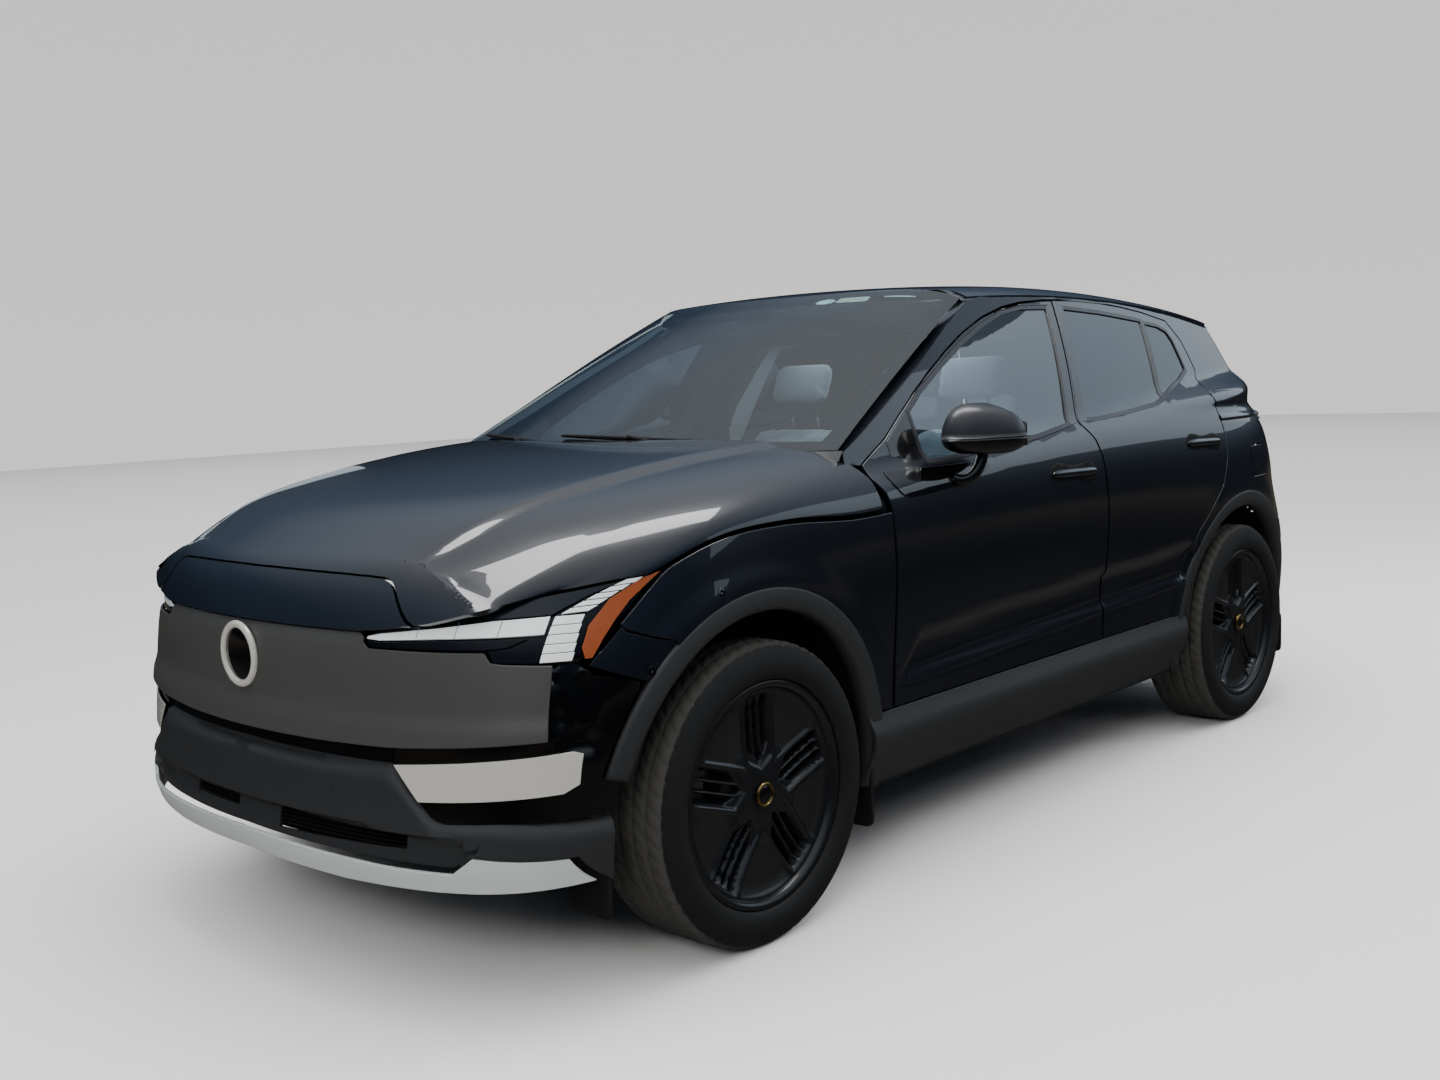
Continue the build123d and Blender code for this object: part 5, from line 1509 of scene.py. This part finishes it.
def cushion(name, profile, y0, y1, channels, replaces=(), voxel=20, cap=22, depth=9, tuck=0.10):
    """An upholstered block: a rounded profile swept across, a little slim, swollen by cloth pressure, and
    then sewn: channels lie at the given places across, measured from -1 to 1, with a seam near each
    end."""
    grid = swept(smooth_loop(profile, 48), y0, y1, 26, 0, tuck)
    middle = grid[:, 1:-1].mean((0, 1))
    size = np.ptp(grid.reshape(-1, 3), axis=0)
    grid = middle + (grid - middle) * (1 - 16 / size)
    made = piece(name, *banded(grid), SEAT_CLOTH, replaces=replaces, away=tuple(middle))
    puffed(made, voxel, cap)
    points = np.empty(len(made.data.vertices) * 3, np.float32)
    made.data.vertices.foreach_get("co", points)
    p = points.reshape(-1, 3) / MM
    t = (p[:, 1] - (y0 + y1) / 2) / ((y1 - y0) / 2)
    out = (p - middle) * (1, 0, 1)
    out /= np.maximum(np.linalg.norm(out, axis=1, keepdims=True), 1)
    sink = sum(bell(t, c, 0.05) for c in channels) + 0.8 * (bell(t, -0.9, 0.04) + bell(t, 0.9, 0.04))
    p = (p - out * (depth * sink)[:, None]) * MM
    made.data.vertices.foreach_set("co", p.astype(np.float32).ravel())
    finer = made.modifiers.new("finer", "SUBSURF")
    finer.levels = finer.render_levels = 1


def seats():
    """Two front seats, and a bench with three headrests."""
    for name, sign in SIDES:
        middle = 372 * sign
        y0, y1 = middle - 250, middle + 250
        seat = f"front_seat_{name}"
        cushion(seat + "_cushion", [(-288, 474), (236, 504), (256, 600), (60, 638), (-286, 600)], y0, y1,
                (-0.5, 0.5), replaces=[seat])
        cushion(seat + "_back", [(-286, 562), (-174, 592), (-392, 1166), (-498, 1148)], y0 + 6, y1 - 6,
                (-0.5, 0.5))
        cushion(seat + "_headrest", [(-438, 1202), (-362, 1216), (-422, 1376), (-508, 1364)], middle - 128,
                middle + 128, (), voxel=14)
        plinth = rounded((-260, y0 + 50, 358), (200, y1 - 50, 508), 8, 14, 48)
        piece(seat + "_base", *stacked(plinth), TRIM, away=(-30, middle, 430))
        for k in (-1, 1):
            post = tube([(-448, middle + 60 * k, 1130), (-430, middle + 60 * k, 1220)], 6, 10)
            piece(f"{seat}_post_{'left' if k > 0 else 'right'}", *stacked(post), CHROME,
                  away=(-440, middle + 60 * k, 1170))
    cushion("rear_seat_cushion", [(-1008, 476), (-562, 492), (-544, 598), (-700, 638), (-1008, 600)],
            -532, 532, (-0.72, -0.28, 0.28, 0.72), replaces=["rear_seat"], voxel=22, tuck=0.05)
    cushion("rear_seat_back", [(-1008, 562), (-903, 600), (-1084, 1106), (-1188, 1088)], -532, 532,
            (-0.72, -0.28, 0.28, 0.72), voxel=22, tuck=0.05)
    for k, y in enumerate((-360, 0, 360)):
        cushion(f"rear_headrest_{k}", [(-1150, 1112), (-1084, 1122), (-1122, 1232), (-1182, 1222)],
                y - 115, y + 115, (), voxel=14)


seats()


# ---- small parts ----

def wipers():
    """Two wiper arms and blades lying at the foot of the windscreen."""
    s_of = windscreen_grid(0, 1, 1, 201, 401)

    def on_glass(s, t, lift):
        p = s_of[int(round(s * 200)), int(round((t + 1) * 200))]
        return p + np.array([0.48, 0, 0.88]) * lift
    for k, (t0, t1, s0, s1) in enumerate(((0.62, -0.16, 0.035, 0.075), (-0.1, -0.8, 0.03, 0.08))):
        t = np.linspace(0, 1, 40)
        spots = [(s0 + (s1 - s0) * a, t0 + (t1 - t0) * a, 9 + 1.5 * np.sin(np.pi * a)) for a in t]
        blade = np.array([on_glass(*spot) for spot in spots])
        for i in range(3):
            blade[:, i] = np.convolve(np.pad(blade[:, i], 4, mode="edge"), np.ones(9) / 9, "valid")
        blade_grid = tube(blade, 5.5 * np.sin(np.pi * np.clip(t * 0.96 + 0.02, 0, 1)) ** 0.3 + 1, 10)
        piece(f"wiper_blade_{k}", *stacked(blade_grid), DARK, slot="gloss_black",
              away=tuple(blade.mean(0) - (0, 0, 4)))
        root = on_glass(0.0, t0 + (t1 - t0) * 0.15, 4) + (22, 0, -6)
        arm = np.array([root, (root + blade[20]) / 2 + (6, 0, 9), blade[20] + (0, 0, 5)])
        arm = np.stack([through(*zip(range(3), arm[:, i]))(np.linspace(0, 2, 20)) for i in range(3)], -1)
        piece(f"wiper_arm_{k}", *stacked(tube(arm, np.linspace(8, 5, 20), 12)), DARK, slot="gloss_black",
              away=tuple(arm.mean(0) - (0, 0, 8)))


wipers()


def stickers():
    """Blank paper labels behind the top of the windscreen, and their white strip."""
    def patch(t0, t1, s0, s1, round_power):
        a = np.linspace(0, 2 * np.pi, 40, endpoint=False)[None]
        r = np.linspace(0.001, 1, 8)[:, None]
        c, s = np.cos(a), np.sin(a)
        k = (np.abs(c) ** round_power + np.abs(s) ** round_power) ** (-1 / round_power)
        t = (t0 + t1) / 2 + (t1 - t0) / 2 * r * k * c
        u = (s0 + s1) / 2 + (s1 - s0) / 2 * r * k * s
        return windscreen_at(u, t, -1.5)
    for name, args, material in (("round_label", (0.40, 0.49, 0.905, 0.95, 2), STICKER_WHITE),
                                 ("paper_label", (0.50, 0.64, 0.912, 0.955, 12), STICKER),
                                 ("strip_label", (0.70, 0.83, 0.945, 0.955, 12), STICKER_WHITE)):
        piece(name, *stacked(patch(*args)), material)


stickers()


def small_parts():
    """Cowl, parking sensors, mudflaps and air deflectors."""
    y = np.linspace(-1, 1, 60)[:, None]
    q = np.linspace(0, 1, 6)[None]
    base = np.stack([1035 - 200 * y ** 2 + 0 * q, 800 * y + 0 * q, 1126 + 0 * y + 0 * q], -1)
    hood_x = np.interp(np.abs(800 * y), *HOOD_REAR) + 26
    cowl = base + q[..., None] * (np.stack([hood_x, 800 * y, 1100 + 0 * y], -1) - base)
    piece("cowl_panel", *sheet(cowl), CHARCOAL, slot="gloss_black", away=(900, 0, 500))
    a = np.linspace(0, 2 * np.pi, 28, endpoint=False)
    for k, (x, z) in enumerate(((1417, 852), (1632, 713))):
        r = np.array([0.1, 5, 8.5, 9.5, 10])[:, None]
        g = lifted(FENDER, 0.7)(x + r * np.cos(a), z + r * np.sin(a))
        pair(f"side_sensor_{k}", *stacked(g), GLOSS_BLACK, thick=1)
    for k, (y0, z0) in enumerate(((330, 470), (700, 390))):
        angle = wrapped([(y0, z0), (y0 + 1, z0), (y0, z0 + 1)])[0]
        r = np.array([0.1, 7, 10.5, 12])[:, None]
        g = lifted(nose, 1.2)(angle[0] + r * np.cos(a), angle[1] + r * np.sin(a))
        pair(f"nose_sensor_{k}", *stacked(g), CHARCOAL, thick=1, round_mm=0.4)
    for end, x0, x1, z1 in (("front", 832, 846, 380), ("rear", -1826, -1812, 330)):
        flap = rounded((x0, 712, 158 if end == "front" else 170), (x1, 866, z1), 9, 14, 48)
        pair(f"{end}_mudflap", *stacked(flap), RUBBER, away=((x0 + x1) / 2, 790, 270))
    fin = rounded((1706, 690, 176), (1722, 826, 300), 7, 12, 40)
    pair("air_deflector", *stacked(fin), RUBBER, away=(1714, 760, 240))


small_parts()


# ---- floor, light, other materials ----

def carry_over():
    """Finishes for the solids that stay as they are."""
    for node, material in {"front_structure": STEEL, "floor_pan": STEEL, "wheel_liners": FELT,
                           "front_subframe": STEEL, "rear_axle": IRON, "battery_pack": STEEL,
                           "drive_motor": ALLOY, "knuckle_left": ALLOY, "knuckle_right": ALLOY}.items():
        nodes[node].data.materials.clear()
        nodes[node].data.materials.append(material)


carry_over()


def light(name, place, target, size, power, mirrored_in_gloss=True, colour="#ffffff"):
    """Rectangular lamp at a place in metres, turned to a target."""
    data = bpy.data.lights.new(name, "AREA")
    data.color = linear(colour)[:3]
    data.shape, data.size, data.size_y, data.energy = "RECTANGLE", size[0], size[1], power
    made = bpy.data.objects.new(name, data)
    away = Vector(place) - Vector(target)
    made.matrix_world = Matrix.Translation(place) @ away.to_track_quat("Z", "Y").to_matrix().to_4x4()
    made.visible_glossy = mirrored_in_gloss
    bpy.context.scene.collection.objects.link(made)


def stage():
    """Pale floor and a soft room: bright overhead, dimmer walls."""
    mesh = bpy.data.meshes.new("floor")
    s = 30
    mesh.from_pydata([(-s, -s, 0), (s, -s, 0), (s, s, 0), (-s, s, 0)], [], [(0, 1, 2, 3)])
    made, tree, shader = finish_of("pale_floor", "#cbc8c6", 0.6, Specular_IOR_Level=0.15)
    grain(tree, shader, 6, 0.3, (0.4, 0.55))
    mesh.materials.append(made)
    floor = bpy.data.objects.new("floor", mesh)
    bpy.context.scene.collection.objects.link(floor)
    floor.visible_glossy = False
    world = bpy.data.worlds.new("room")
    bpy.context.scene.world = world
    world.use_nodes = True
    tree = world.node_tree
    place = add(tree, "ShaderNodeTexCoord").outputs["Generated"]
    up = add(tree, "ShaderNodeSeparateXYZ", {"Vector": place}).outputs["Z"]
    height = add(tree, "ShaderNodeMapRange", {"Value": up, "From Min": -1.0}).outputs["Result"]

    def gradient(*stops):
        ramp = add(tree, "ShaderNodeValToRGB", {"Fac": height})
        elements = ramp.color_ramp.elements
        elements[0].position, elements[0].color = stops[0][0], linear(stops[0][1])
        elements[1].position, elements[1].color = stops[-1][0], linear(stops[-1][1])
        for at, colour in stops[1:-1]:
            elements.new(at).color = linear(colour)
        return ramp.outputs["Color"]
    seen = gradient((0.5, "#cfcccb"), (0.56, "#cbc8c8"), (0.8, "#bfbdbe"))
    felt = gradient((0.0, "#6b6866"), (0.33, "#4a4846"), (0.41, "#1d1d1f"), (0.445, "#3a3732"),
                    (0.47, "#544e45"), (0.49, "#1c1e22"), (0.53, "#1c2027"), (0.58, "#29323e"),
                    (0.68, "#4f5e72"), (0.8, "#a7b1bf"), (1.0, "#f0f2f4"))
    camera_ray = add(tree, "ShaderNodeLightPath").outputs["Is Camera Ray"]
    mixed = add(tree, "ShaderNodeMix", {"Factor": camera_ray, "A": felt, "B": seen}, data_type="RGBA")
    tree.links.new(mixed.outputs["Result"], tree.nodes["Background"].inputs["Color"])
    brightness = add(tree, "ShaderNodeMath", {0: camera_ray, 1: 0.55, 2: 1.0}, operation="MULTIPLY_ADD")
    tree.links.new(brightness.outputs["Value"], tree.nodes["Background"].inputs["Strength"])
    light("overhead", (0.6, 0.6, 5.0), (0.3, 0, 0), (4.2, 1.4), 180)
    light("front_left", (6.5, 3.5, 3.6), (1.4, 0.4, 0.6), (2.5, 1.5), 260, False)
    light("behind", (-5.5, 3.5, 4.2), (-0.6, 0.4, 0.7), (3.5, 1.5), 220, False)
    light("ceiling", (0, 0, 18), (0, 0, 0), (60, 60), 22000, False)
    light("side_sky", (-13, 8, 6.2), (0, 0.9, 1.2), (18, 5), 265, colour="#e2f0fa")
    light("far_sky", (-4.6, -14.7, 2.6), (1.7, -0.5, 1.0), (4.5, 1.9), 20, colour="#e2f0fa")
    light("cabin", (-0.3, 0, 1.44), (-0.3, 0, 0.5), (1.1, 0.8), 9, False)


stage()
